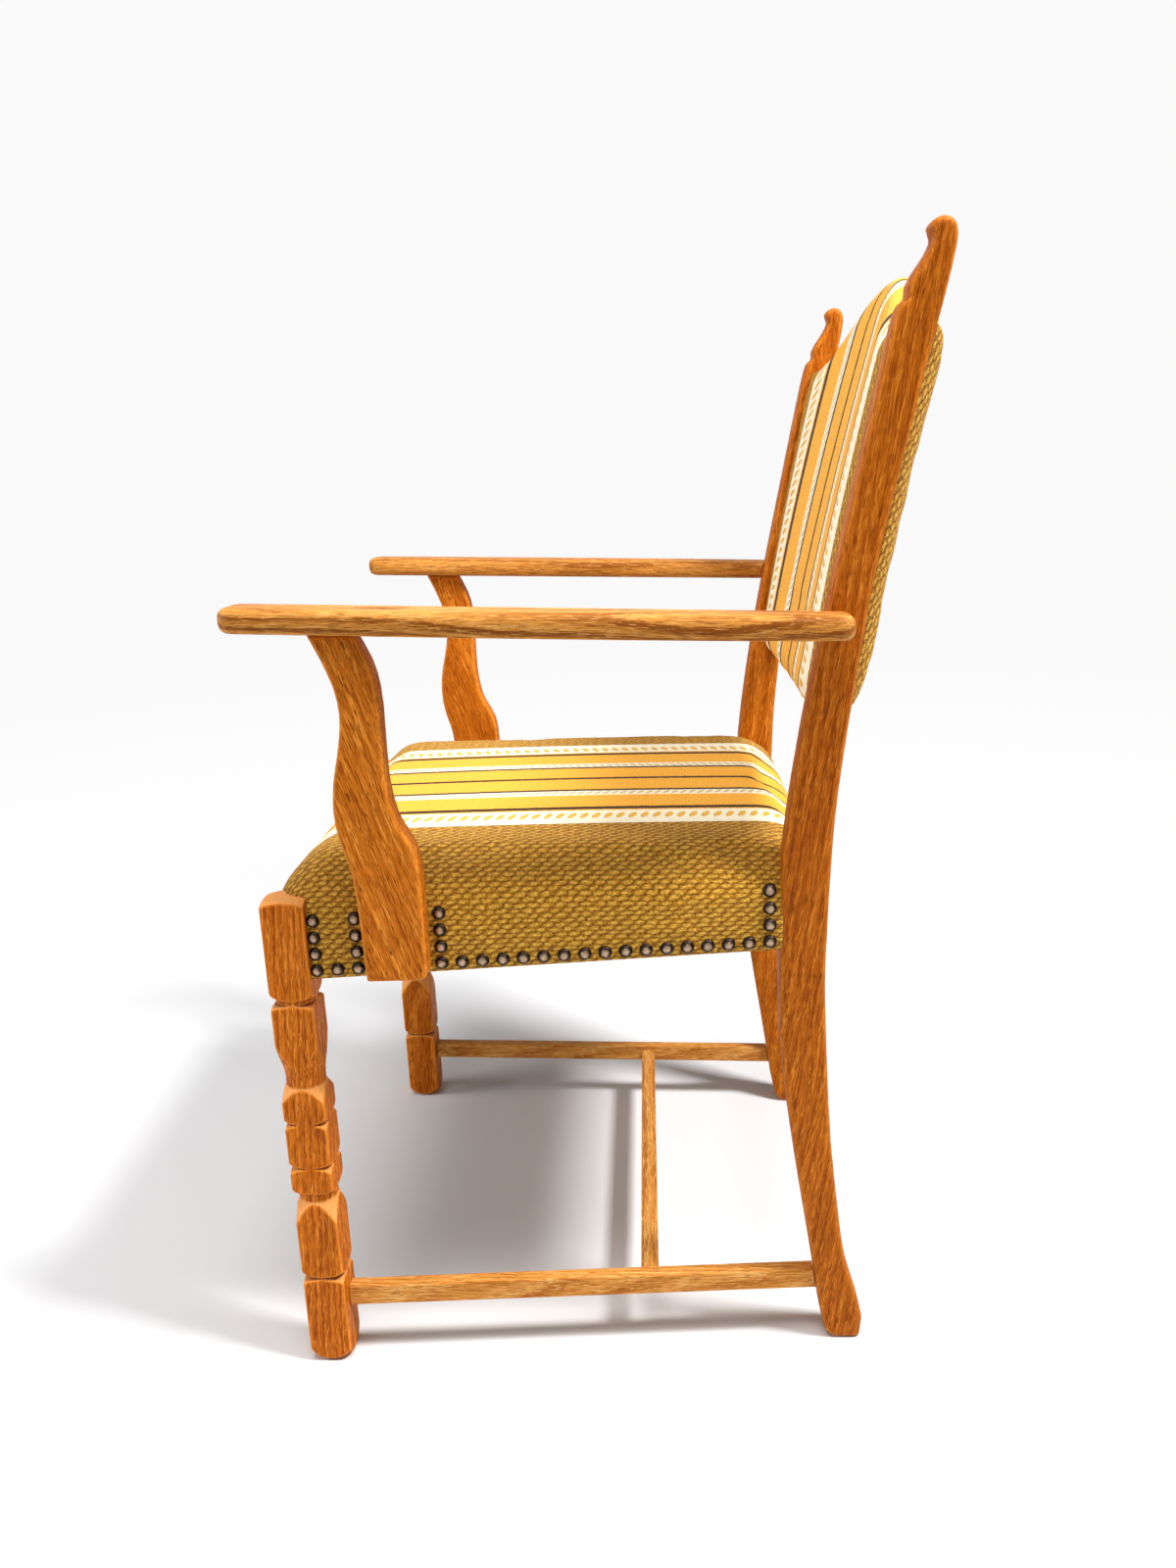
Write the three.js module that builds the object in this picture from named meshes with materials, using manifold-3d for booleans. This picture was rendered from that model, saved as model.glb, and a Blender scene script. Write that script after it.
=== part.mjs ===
// Captain's chair in oiled oak: carved front legs, sawn and curved back posts with scrolled heads,
// flat arms on S-shaped supports, a low H of stretchers, a stuffed seat and a dished, stuffed back.
// Millimetres, +Z up. The sitter faces -Y, so the chair's left side is +X.
// While it is built, y is counted from the centre line of the front legs.

import * as THREE from 'three';
import { mergeVertices } from 'three/addons/utils/BufferGeometryUtils.js';
import Module from 'manifold-3d';

const wasm = await Module();
wasm.setup();

// Driving dimensions
const chair_height = 943;
const leg_track = 489;
const post_track = 435;
const post_splay = 39;
const post_line = 411;
const seat_edge_height = 473;
const seat_side_height = 102;
const seat_underside = seat_edge_height - seat_side_height;
const seat_rise = 17;
const arm_height = 688;
const joint_gap = 0.3;
const tenon_gap = 0.4;
const cut_overrun = 6;

// Finishes
function finish(name, color, roughness, metalness) {
  return new THREE.MeshStandardMaterial({ name, color, roughness, metalness });
}

const oak = finish('oiled_oak', 0xb9732f, 0.45, 0);
const frame_wood = finish('beech_inner_frame', 0xc9a77a, 0.7, 0);
const dowel_wood = finish('beech_dowel', 0xd6b88a, 0.6, 0);
const stripe_fabric = finish('striped_wool', 0xb8862f, 0.95, 0);
const foam = finish('foam', 0xd9cfa8, 0.95, 0);
const wadding = finish('wadding', 0xe2dccb, 1, 0);
const jute = finish('jute_webbing', 0x9c7b4d, 0.95, 0);
const hessian = finish('hessian', 0xa88c5c, 0.95, 0);
const steel = finish('screw_steel', 0x8c8a84, 0.4, 1);

// Solids: closed geometry to a solid that can be joined and cut, and back
function solid(geometry) {
  const bare = geometry.clone();
  bare.deleteAttribute('normal');
  bare.deleteAttribute('uv');
  const welded = mergeVertices(bare);
  const corners = welded.index.array;
  const kept = [];
  for (let i = 0; i < corners.length; i += 3) {
    const [a, b, c] = [corners[i], corners[i + 1], corners[i + 2]];
    if (a !== b && b !== c && c !== a) kept.push(a, b, c);
  }
  const vertProperties = Float32Array.from(welded.attributes.position.array);
  return new wasm.Manifold(new wasm.Mesh({ numProp: 3, vertProperties, triVerts: Uint32Array.from(kept) }));
}

function geometryOf(body) {
  const mesh = body.getMesh();
  const geometry = new THREE.BufferGeometry();
  geometry.setAttribute('position', new THREE.BufferAttribute(Float32Array.from(mesh.vertProperties), 3));
  geometry.setIndex(new THREE.BufferAttribute(Uint32Array.from(mesh.triVerts), 1));
  return geometry;
}

function reshape(geometry, move) {
  const place = geometry.attributes.position;
  const point = new THREE.Vector3();
  for (let i = 0; i < place.count; i += 1) {
    point.fromBufferAttribute(place, i);
    move(point);
    place.setXYZ(i, point.x, point.y, point.z);
  }
  return geometry;
}

function mix(from, to, share) {
  return from + (to - from) * share;
}

function moved(geometry, x, y, z) {
  return geometry.clone().translate(x, y, z);
}

function block(x_low, x_high, y_low, y_high, z_low, z_high) {
  const box = new THREE.BoxGeometry(x_high - x_low, y_high - y_low, z_high - z_low);
  return box.translate((x_low + x_high) / 2, (y_low + y_high) / 2, (z_low + z_high) / 2);
}

// A shape drawn in (y, z) becomes a board standing lengthwise, its thickness along x
const side_on = new THREE.Matrix4().makeBasis(
  new THREE.Vector3(0, 1, 0), new THREE.Vector3(0, 0, 1), new THREE.Vector3(1, 0, 0));

function board(shape, thickness, edge_round, curve_steps, edge_steps) {
  const rounded = edge_round > 0;
  return new THREE.ExtrudeGeometry(shape, {
    depth: thickness - 2 * edge_round,
    curveSegments: curve_steps,
    bevelEnabled: rounded,
    bevelThickness: edge_round,
    bevelSize: edge_round,
    bevelOffset: -edge_round,
    bevelSegments: edge_steps,
  }).translate(0, 0, edge_round - thickness / 2);
}

// The chair as a group: pieces are made on the left side, and pairs are mirrored across x = 0
const chair = new THREE.Group();

function place(name, body, material) {
  const mesh = new THREE.Mesh(geometryOf(body), material);
  mesh.name = name;
  mesh.geometry.computeVertexNormals();
  chair.add(mesh);
}

function mirrored(body) {
  const geometry = geometryOf(body).scale(-1, 1, 1);
  const corners = geometry.index.array;
  for (let i = 0; i < corners.length; i += 3) {
    [corners[i + 1], corners[i + 2]] = [corners[i + 2], corners[i + 1]];
  }
  return solid(geometry);
}

function placePair(name, body, material) {
  place(`${name}_left`, body, material);
  place(`${name}_right`, mirrored(body), material);
}

// Back posts: one sawn outline, rounded over all round, leaning out over its height.
// Shares of the outline: first of the reach behind the post line, then of the chair's height.
const post_reach = 121;
const post_thickness = 30;
const post_roundover = 4;
const scroll_share = 0.0108;
const scroll_radius = scroll_share * chair_height;
const scroll_start = Math.PI * 1.05;
const scroll_facets = 5;
const outline_samples = 240;
const post_toe_share = [0.368, 0.007];
const post_sole_shares = [[0.63, 0], [0.43, 0]];
const post_front_shares = [[0.325, 0.033], [0.264, 0.088], [0.14, 0.191], [0.028, 0.303], [0.004, 0.396],
  [0.015, 0.487], [0.093, 0.57], [0.195, 0.649], [0.295, 0.714], [0.396, 0.777], [0.483, 0.83], [0.604, 0.9035],
  [0.661, 0.934], [0.688, 0.9407], [0.728, 0.9446]];
const post_lip_shares = [[0.7, 0.9525], [0.756, 0.9611]];
const post_cove_shares = [[0.756, 0.9611], [0.8, 0.969], [0.84, 0.977], [0.868, 0.985]];
const post_rear_shares = [[0.997, 0.98], [0.959, 0.955], [0.903, 0.924], [0.848, 0.894], [0.778, 0.853],
  [0.661, 0.788], [0.557, 0.719], [0.47, 0.642], [0.405, 0.579], [0.355, 0.512], [0.324, 0.4], [0.33, 0.345],
  [0.374, 0.235], [0.432, 0.16], [0.501, 0.093], [0.605, 0.045], [0.645, 0.022]];

function onPost([reach_share, height_share]) {
  return new THREE.Vector2(post_line + reach_share * post_reach, height_share * chair_height);
}

const post_front = new THREE.SplineCurve(post_front_shares.map(onPost));
const post_rear = new THREE.SplineCurve(post_rear_shares.map(onPost));

function edgeAt(curve, z) {
  const fine = curve.getPoints(outline_samples);
  let best = fine[0];
  for (const point of fine) {
    if (Math.abs(point.y - z) < Math.abs(best.y - z)) best = point;
  }
  return best.x;
}

const postFrontY = (z) => edgeAt(post_front, z);
const postRearY = (z) => edgeAt(post_rear, z);
const postCentreX = (z) => post_track / 2 + post_splay * z / chair_height;
const postInnerX = (z) => postCentreX(z) - post_thickness / 2;
const postOuterX = (z) => postCentreX(z) + post_thickness / 2;

function postOutline() {
  const scroll_middle = new THREE.Vector2(post_line + post_reach - scroll_radius, chair_height - scroll_radius);
  const outline = new THREE.Shape();
  outline.moveTo(...onPost(post_toe_share));
  outline.lineTo(...onPost(post_front_shares[0]));
  outline.splineThru(post_front_shares.slice(1).map(onPost));
  outline.quadraticCurveTo(...onPost(post_lip_shares[0]), ...onPost(post_lip_shares[1]));
  outline.splineThru(post_cove_shares.slice(1).map(onPost));
  const scroll = new THREE.EllipseCurve(
    scroll_middle.x, scroll_middle.y, scroll_radius, scroll_radius, scroll_start, 0, true);
  outline.splineThru(scroll.getPoints(scroll_facets).slice(1));
  outline.splineThru(post_rear_shares.map(onPost));
  for (const sole of post_sole_shares) outline.lineTo(...onPost(sole));
  outline.closePath();
  return outline;
}

function lean(point) {
  point.x += post_splay * point.z / chair_height;
}

const post_blank = reshape(
  board(postOutline(), post_thickness, post_roundover, 2, 2).applyMatrix4(side_on)
    .translate(post_track / 2, 0, 0), lean);
const post_solid = solid(post_blank);

// Front legs: a square bar that is turned between centres, so that the flats end in arches,
// domes and points. Each notch is a share of the leg's height, and its waist a share of half its width.
const leg_size = 37;
const leg_rail_reach = 72;
const leg_height = seat_underside + leg_rail_reach;
const leg_half = leg_size / 2;
const sole_radius = 10;
const leg_rake = 5;
const turning_play_share = 1.03;
const turning_radius = leg_half * Math.SQRT2 * turning_play_share;
const foot_dome_share = 0.05;
const crown_dome_share = 0.985;
const leg_notch_shares = [
  { from: 0.174, low: 0.192, high: 0.195, to: 0.215, waist: 0.95, below: 'dome', above: 'dome' },
  { from: 0.312, low: 0.368, high: 0.386, to: 0.409, waist: 0.93, below: 'cone', above: 'dome' },
  { from: 0.424, low: 0.442, high: 0.444, to: 0.463, waist: 1.015, below: 'dome', above: 'dome' },
  { from: 0.525, low: 0.538, high: 0.54, to: 0.549, waist: 1.015, below: 'dome', above: 'dome' },
  { from: 0.581, low: 0.616, high: 0.632, to: 0.735, waist: 0.93, below: 'cone', above: 'cyma' },
  { from: 0.77, low: 0.789, high: 0.793, to: 0.814, waist: 0.95, below: 'dome', above: 'dome' },
];
const dome_steps = 2;
const cyma_steps = 4;
const leg_facets = 24;

function turnedStretch(kind, from, to) {
  const steps = { dome: dome_steps, cone: 1, cyma: cyma_steps }[kind];
  const stretch = [];
  for (let i = 0; i <= steps; i += 1) {
    const share = i / steps;
    const turn = share * Math.PI / 2;
    const radius_share = { dome: 1 - Math.cos(turn), cone: share, cyma: (1 - Math.cos(2 * turn)) / 2 }[kind];
    const height_share = kind === 'dome' ? Math.sin(turn) : share;
    stretch.push(new THREE.Vector2(
      from.x + (to.x - from.x) * radius_share, from.y + (to.y - from.y) * height_share));
  }
  return stretch;
}

function legProfile() {
  const on = (radius, height_share) => new THREE.Vector2(radius, height_share * leg_height);
  const profile = [new THREE.Vector2(0, 0)];
  const foot = turnedStretch('dome', on(turning_radius, foot_dome_share), on(sole_radius, 0));
  profile.push(...foot.reverse());
  for (const notch of leg_notch_shares) {
    const waist = notch.waist * leg_half;
    profile.push(...turnedStretch(notch.below, on(turning_radius, notch.from), on(waist, notch.low)));
    profile.push(...turnedStretch(notch.above, on(turning_radius, notch.to), on(waist, notch.high)).reverse());
  }
  profile.push(on(turning_radius, crown_dome_share));
  profile.push(on(leg_half, (1 + crown_dome_share) / 2), on(leg_half / 2, 1), on(0, 1));
  return profile;
}

const leg_x = leg_track / 2;
const turning = new THREE.LatheGeometry(legProfile(), leg_facets).rotateX(Math.PI / 2);
const square_bar = block(-leg_half, leg_half, -leg_half, leg_half, -cut_overrun, leg_height + cut_overrun);
const carved_leg = solid(square_bar).intersect(solid(turning));
const legLineY = (z) => leg_rake * (1 - z / leg_height);
const legRearY = (z) => legLineY(z) + leg_half;
const leg_blank = solid(reshape(geometryOf(carved_leg), (point) => {
  point.x += leg_x;
  point.y += legLineY(point.z);
}));

// Seat frame: four rails with tenons, the side rails splayed in plan and climbing to the back
const rail_thickness = 22;
const rail_height = 50;
const rail_setback = 3;
const tenon_length = 14;
const tenon_thickness = 9;
const tenon_shoulder = 8;
const fabric_thickness = 2.2;
const cover_offset = fabric_thickness + joint_gap;
const rail_half = rail_thickness / 2;
const rail_middle_z = seat_underside + rail_height / 2;
const rail_rear_z = seat_underside + seat_rise;
const post_x_at_seat = postCentreX(rail_middle_z + seat_rise);
const side_slope = (post_x_at_seat - leg_x) / post_line;
const front_rail_y = -leg_half + rail_setback + cover_offset + rail_half;
const rear_rail_y = postRearY(rail_rear_z + rail_height / 2) - rail_half;

const sideX = (y) => leg_x + side_slope * y;
const undersideZ = (y) => seat_underside + seat_rise * y / post_line;

function alongSide(point) {
  point.x += sideX(point.y);
  point.z += undersideZ(point.y);
}

function sideTenon(from_y, to_y, gap) {
  return solid(reshape(block(-tenon_thickness / 2 - gap, tenon_thickness / 2 + gap, from_y - gap, to_y + gap,
    tenon_shoulder - gap, rail_height - tenon_shoulder + gap), alongSide));
}

const post_shoulder = solid(moved(post_blank, 0, -joint_gap, 0));
const rail_front_y = legRearY(seat_underside) + joint_gap;
const side_rail_body = solid(reshape(block(-rail_half, rail_half, rail_front_y, post_line + cut_overrun,
  0, rail_height), alongSide)).subtract(post_shoulder);
const front_side_tenon = sideTenon(rail_front_y - tenon_length, rail_front_y + cut_overrun, 0);
const rear_side_tenon = sideTenon(post_line - cut_overrun, post_line + tenon_length, 0);
const side_rail_blank = side_rail_body.add(front_side_tenon).add(rear_side_tenon);

function crossTenon(shoulder_x, middle_y, low_z, gap) {
  return solid(block(shoulder_x - cut_overrun, shoulder_x + tenon_length + gap,
    middle_y - tenon_thickness / 2 - gap, middle_y + tenon_thickness / 2 + gap,
    low_z + tenon_shoulder - gap, low_z + rail_height - tenon_shoulder + gap));
}

function crossRail(shoulder_x, middle_y, low_z) {
  const body = solid(block(-shoulder_x, shoulder_x, middle_y - rail_half, middle_y + rail_half,
    low_z, low_z + rail_height));
  const tenon = crossTenon(shoulder_x, middle_y, low_z, 0);
  return body.add(tenon).add(mirrored(tenon));
}

const front_rail_x = leg_x - leg_half - joint_gap;
const rear_rail_x = postInnerX(rail_rear_z) - joint_gap;
const front_rail = crossRail(front_rail_x, front_rail_y, seat_underside);
const rear_rail = crossRail(rear_rail_x, rear_rail_y, rail_rear_z);

// Stretchers: a low H, the side ones tenoned into leg and post, the cross one into the side ones
const stretcher_top = 68.5;
const stretcher_height = 19;
const stretcher_width = 14;
const stretcher_tenon_height = 12;
const stretcher_tenon_width = 8;
const cross_share = 0.664;
const cross_height = 15;
const cross_width = 16;
const cross_drop = 4;
const cross_tenon_length = 7;
const cross_tenon_size = 8;
const stretcher_half = stretcher_width / 2;
const stretcher_low = stretcher_top - stretcher_height;
const stretcher_middle = stretcher_top - stretcher_height / 2;
const stretcher_rear_y = postFrontY(stretcher_middle);
const stretcher_front_y = legRearY(stretcher_low) + joint_gap;
const stretcher_slope = (postCentreX(stretcher_middle) - leg_x) / stretcher_rear_y;

function alongStretcher(point) {
  point.x += leg_x + stretcher_slope * point.y;
}

function stretcherTenon(from_y, to_y, gap) {
  return solid(reshape(block(-stretcher_tenon_width / 2 - gap, stretcher_tenon_width / 2 + gap,
    from_y - gap, to_y + gap, stretcher_middle - stretcher_tenon_height / 2 - gap,
    stretcher_middle + stretcher_tenon_height / 2 + gap), alongStretcher));
}

const front_stretcher_tenon = stretcherTenon(stretcher_front_y - tenon_length, stretcher_front_y + cut_overrun, 0);
const rear_stretcher_tenon = stretcherTenon(stretcher_rear_y - cut_overrun, stretcher_rear_y + tenon_length, 0);
const cross_y = cross_share * stretcher_rear_y;
const cross_x = leg_x + stretcher_slope * (cross_y + cross_width / 2) - stretcher_half - joint_gap;
const cross_top = stretcher_top - cross_drop;
const cross_middle = cross_top - cross_height / 2;

function crossStretcherTenon(gap) {
  return solid(block(cross_x - cut_overrun, cross_x + cross_tenon_length + gap,
    cross_y - cross_tenon_size / 2 - gap, cross_y + cross_tenon_size / 2 + gap,
    cross_middle - cross_tenon_size / 2 - gap, cross_middle + cross_tenon_size / 2 + gap));
}

const cross_body = solid(block(-cross_x, cross_x, cross_y - cross_width / 2, cross_y + cross_width / 2,
  cross_top - cross_height, cross_top));
const cross_stretcher = cross_body.add(crossStretcherTenon(0)).add(mirrored(crossStretcherTenon(0)));
const side_stretcher = solid(reshape(block(-stretcher_half, stretcher_half, stretcher_front_y,
  stretcher_rear_y + cut_overrun, stretcher_low, stretcher_top), alongStretcher))
  .subtract(post_shoulder).add(front_stretcher_tenon).add(rear_stretcher_tenon)
  .subtract(crossStretcherTenon(tenon_gap));

// Arms: flat, bowed on the outer edge, falling a little to the back and housed over the post
const arm_thickness = 20;
const arm_roundover = 7;
const arm_overhang = 20;
const arm_lap = 20;
const arm_fall = 20;
const arm_housing = 6;
const arm_splay = 10;
const arm_front_width = 46;
const arm_middle_width = 49;
const arm_rear_width = 38;
const arm_end_round = 14;
const arm_middle_share = 0.45;
const arm_rear_post_y = postFrontY(arm_height - arm_fall - arm_thickness / 2);
const arm_front_y = -arm_overhang;
const arm_rear_y = arm_rear_post_y + arm_lap;
const arm_length = arm_rear_y - arm_front_y;
const arm_inner_x = postOuterX(arm_height - arm_fall) - arm_housing;
const arm_middle_y = arm_front_y + arm_middle_share * arm_length;

function armOutline() {
  const outline = new THREE.Shape();
  outline.moveTo(arm_inner_x, arm_middle_y);
  outline.lineTo(arm_inner_x, arm_front_y + arm_end_round);
  outline.quadraticCurveTo(arm_inner_x, arm_front_y, arm_inner_x + arm_end_round, arm_front_y);
  outline.lineTo(arm_inner_x + arm_front_width - arm_end_round, arm_front_y);
  outline.quadraticCurveTo(arm_inner_x + arm_front_width, arm_front_y,
    arm_inner_x + arm_front_width, arm_front_y + arm_end_round);
  outline.quadraticCurveTo(arm_inner_x + arm_middle_width, arm_front_y + arm_length / 4,
    arm_inner_x + arm_middle_width, arm_middle_y);
  outline.quadraticCurveTo(arm_inner_x + arm_middle_width, arm_rear_y - arm_length / 4,
    arm_inner_x + arm_rear_width, arm_rear_y - arm_end_round);
  outline.quadraticCurveTo(arm_inner_x + arm_rear_width, arm_rear_y,
    arm_inner_x + arm_rear_width - arm_end_round, arm_rear_y);
  outline.lineTo(arm_inner_x, arm_rear_y);
  outline.closePath();
  return outline;
}

const armFallAt = (y) => arm_fall * (y - arm_front_y) / arm_length;
const armUndersideZ = (y) => arm_height - arm_thickness - armFallAt(y);

function slopeArm(point) {
  point.x -= arm_splay * (arm_rear_y - point.y) / arm_length;
  point.z += arm_height - arm_thickness / 2 - armFallAt(point.y);
}

const arm_blank = solid(reshape(board(armOutline(), arm_thickness, arm_roundover, 6, 3), slopeArm))
  .subtract(solid(moved(post_blank, joint_gap, 0, 0))).subtract(post_shoulder);

// Arm supports: an S-shaped board on the outside of the side rail, its head dowelled into the arm.
// Shares of the outline: first of the board's width, then of its height.
const support_front_y = 56;
const support_width = 66;
const support_thickness = 24;
const support_roundover = 3;
const support_corner = 7;
const support_lift = 8;
const support_front_shares = [[0.235, 0], [0.215, 0.12], [0.185, 0.26], [0.14, 0.345], [0.04, 0.425],
  [0, 0.505], [0.03, 0.59], [0.115, 0.68], [0.17, 0.765], [0.14, 0.845], [0.02, 0.925], [-0.13, 1]];
const support_rear_shares = [[0.42, 1], [0.58, 0.92], [0.65, 0.83], [0.655, 0.68], [0.67, 0.58],
  [0.74, 0.49], [0.87, 0.43], [0.96, 0.38], [1, 0.29], [1, 0.1]];
const support_low_z = seat_underside + support_lift;
const supportTopZ = (y) => armUndersideZ(y) - joint_gap;
const support_middle_y = support_front_y + support_width / 2;
const support_bulge = 1.2;
const support_inner_gap = rail_half + cover_offset + support_bulge + joint_gap;

function onSupport([width_share, height_share]) {
  const y = support_front_y + width_share * support_width;
  return new THREE.Vector2(y, support_low_z + height_share * (supportTopZ(y) - support_low_z));
}

function supportOutline() {
  const bottom_front = onSupport(support_front_shares[0]);
  const bottom_rear = new THREE.Vector2(support_front_y + support_width, support_low_z);
  const outline = new THREE.Shape();
  outline.moveTo(bottom_front.x, bottom_front.y);
  outline.splineThru(support_front_shares.slice(1).map(onSupport));
  outline.lineTo(...onSupport(support_rear_shares[0]));
  outline.splineThru(support_rear_shares.slice(1).map(onSupport));
  outline.lineTo(bottom_rear.x, bottom_rear.y + support_corner);
  outline.quadraticCurveTo(bottom_rear.x, bottom_rear.y, bottom_rear.x - support_corner, bottom_rear.y);
  outline.closePath();
  return outline;
}

function besideRail(point) {
  point.x += sideX(point.y) + support_inner_gap + support_thickness / 2;
}

const support_blank = solid(reshape(
  board(supportOutline(), support_thickness, support_roundover, 2, 2).applyMatrix4(side_on), besideRail));

// Dowels and screws: round pegs along one line, with a head where it is a screw
const dowel_radius = 4;
const dowel_depth = 14;
const screw_radius = 2.2;
const screw_head_radius = 4.2;
const screw_head_depth = 3;
const peg_gap = 0.25;
const peg_facets = 10;
const up = new THREE.Vector3(0, 0, 1);

function peg(start, direction, length, radius, gap) {
  const grown = radius + gap;
  const profile = [[0, -gap], [grown, -gap], [grown, length + gap], [0, length + gap]];
  return aimed(profile, start, direction);
}

function screw(start, direction, length, gap) {
  const shank = screw_radius + gap;
  const head = screw_head_radius + gap;
  const profile = [[0, 0], [head, 0], [shank, screw_head_depth], [shank, length + gap], [0, length + gap]];
  return aimed(profile, start, direction);
}

function aimed(profile, start, direction) {
  const points = profile.map(([radius, height]) => new THREE.Vector2(radius, height));
  const turned = new THREE.LatheGeometry(points, peg_facets).rotateX(Math.PI / 2);
  const aim = new THREE.Quaternion().setFromUnitVectors(up, direction.clone().normalize());
  return solid(turned.applyQuaternion(aim).translate(start.x, start.y, start.z));
}

const outward = new THREE.Vector3(1, 0, 0);
const arm_dowel_z = arm_height - arm_thickness / 2 - armFallAt(arm_rear_post_y + arm_lap / 2);
const arm_dowel_at = new THREE.Vector3(
  postOuterX(arm_dowel_z) - dowel_depth, arm_rear_post_y + arm_lap / 2, arm_dowel_z);
const armDowel = (gap) => peg(arm_dowel_at, outward, 2 * dowel_depth, dowel_radius, gap);

const support_dowel_share = 0.15;
const support_dowel_y = support_front_y + support_dowel_share * support_width;
const support_dowel_at = new THREE.Vector3(
  sideX(support_dowel_y) + support_inner_gap + support_thickness / 2, support_dowel_y,
  supportTopZ(support_dowel_y) - dowel_depth);
const supportDowel = (gap) => peg(support_dowel_at, up, 2 * dowel_depth, dowel_radius, gap);

const support_screw_shares = { lower: 0.3, upper: 0.75 };
const support_screw_bite = 14;
const screw_inset = 0.5;

function supportScrew(height_share, gap) {
  const y = support_middle_y;
  const z = undersideZ(y) + height_share * rail_height;
  const start = new THREE.Vector3(sideX(y) - rail_half + screw_inset, y, z);
  return screw(start, outward, rail_thickness + cover_offset + support_bulge + support_screw_bite, gap);
}

// Corner blocks: three-cornered blocks in the seat frame, notched round the leg or the post
const corner_reach = 55;
const corner_height = 40;
const corner_drop = 6;
const corner_screw_share = 0.5;
const corner_screw_length = 38;
const corner_screw_sink = 1;

function cornerBlock(points, low_z) {
  const outline = new THREE.Shape(points.map(([x, y]) => new THREE.Vector2(x, y)));
  return solid(new THREE.ExtrudeGeometry(outline, { depth: corner_height, bevelEnabled: false })
    .translate(0, 0, low_z));
}

const front_corner_y = front_rail_y + rail_half + joint_gap;
const leg_inner_x = leg_x - leg_half - joint_gap;
const railInnerX = (y) => sideX(y) - rail_half - joint_gap;
const front_corner_points = [
  [leg_inner_x, front_corner_y],
  [leg_inner_x - corner_reach, front_corner_y],
  [railInnerX(rail_front_y + corner_reach), rail_front_y + corner_reach],
  [railInnerX(rail_front_y), rail_front_y],
  [leg_inner_x, rail_front_y],
];
const rear_corner_y = rear_rail_y - rail_half - joint_gap;
const post_inner_x = postInnerX(rail_rear_z) - joint_gap;
const post_front_y = post_line - joint_gap - post_roundover / 4;
const rear_corner_points = [
  [post_inner_x, rear_corner_y],
  [post_inner_x, post_front_y],
  [railInnerX(post_front_y), post_front_y],
  [railInnerX(post_front_y - corner_reach), post_front_y - corner_reach],
  [post_inner_x - corner_reach, rear_corner_y],
];
const front_block_z = seat_underside + rail_height - corner_drop - corner_height;
const rear_block_z = rail_rear_z + rail_height - corner_drop - corner_height;

function cornerScrew(points, near, far, target, low_z, gap) {
  const start_x = (points[near][0] + points[far][0]) / 2;
  const start_y = (points[near][1] + points[far][1]) / 2;
  const z = low_z + corner_screw_share * corner_height;
  const direction = new THREE.Vector3(target[0] - start_x, target[1] - start_y, 0).normalize();
  const start = new THREE.Vector3(start_x, start_y, z).addScaledVector(direction, corner_screw_sink);
  return screw(start, direction, corner_screw_length, gap);
}

const frontCornerScrew = (gap) => cornerScrew(
  front_corner_points, 1, 2, [leg_x - leg_half / 2, leg_half / 2], front_block_z, gap);
const rearCornerScrew = (gap) => cornerScrew(
  rear_corner_points, 3, 4, [postCentreX(rail_rear_z), post_line + leg_half / 2], rear_block_z, gap);
const front_corner_block = cornerBlock(front_corner_points, front_block_z).subtract(frontCornerScrew(peg_gap));
const rear_corner_block = cornerBlock(rear_corner_points, rear_block_z).subtract(rearCornerScrew(peg_gap));

// Seat: webbing over the rails, hessian, a shaped pad, and the cover drawn down over the rails.
// Rings of a rounded trapezoid, from the lower edge up the sides and over the edge roll to the middle.
const seat_top_rise = 0.5;
const seat_dish = 2.5;
const seat_roll = 52;
const seat_wall_share = 0.53;
const seat_rear_bulge = 2;
const seat_corner_low = 10;
const seat_corner_wall = 28;
const seat_corner_high = 78;
const roll_steps = 5;
const wall_ring_shares = [0, 0.5, 1];
const roof_ring_shares = [0.35, 0.7];
const pad_low_share = 0.3;
const corner_steps = 4;
const edge_steps = 4;
const seat_front_y = front_rail_y - rail_half - cover_offset;
const seat_rear_y = rear_rail_y + rail_half + cover_offset;

function seatRing(inset, corner_radius, height_share, grow) {
  const front = seat_front_y + inset.front - grow;
  const rear = seat_rear_y - inset.rear + grow;
  const side = (y) => sideX(y) + rail_half + cover_offset - inset.side + grow;
  const corners = [[1, front], [1, rear], [-1, rear], [-1, front]];
  const ring = [];
  corners.forEach(([sign, y], index) => {
    const inward = y === front ? 1 : -1;
    const middle_y = y + inward * corner_radius;
    const middle_x = sign * (side(middle_y) - corner_radius);
    for (let i = 0; i <= corner_steps; i += 1) {
      const turn = (index - 1 + i / corner_steps) * Math.PI / 2;
      ring.push([middle_x + corner_radius * Math.cos(turn), middle_y + corner_radius * Math.sin(turn)]);
    }
    const [next_sign, next_y] = corners[(index + 1) % corners.length];
    const next_inward = next_y === front ? 1 : -1;
    const next_middle_y = next_y + next_inward * corner_radius;
    const next_middle_x = next_sign * (side(next_middle_y) - corner_radius);
    const turn = index * Math.PI / 2;
    const from = [middle_x + corner_radius * Math.cos(turn), middle_y + corner_radius * Math.sin(turn)];
    const to = [next_middle_x + corner_radius * Math.cos(turn), next_middle_y + corner_radius * Math.sin(turn)];
    for (let i = 1; i < edge_steps; i += 1) {
      const share = i / edge_steps;
      ring.push([from[0] + (to[0] - from[0]) * share, from[1] + (to[1] - from[1]) * share]);
    }
  });
  return ring.map(([x, y]) => {
    const low = undersideZ(y);
    const high = seat_edge_height + seat_top_rise * y / post_line;
    return [x, y, low + (high - low) * height_share];
  });
}

function bulged(share) {
  const swell = Math.sin(share * Math.PI / 2);
  return { front: 0, rear: -seat_rear_bulge * swell, side: -support_bulge * swell };
}

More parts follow.
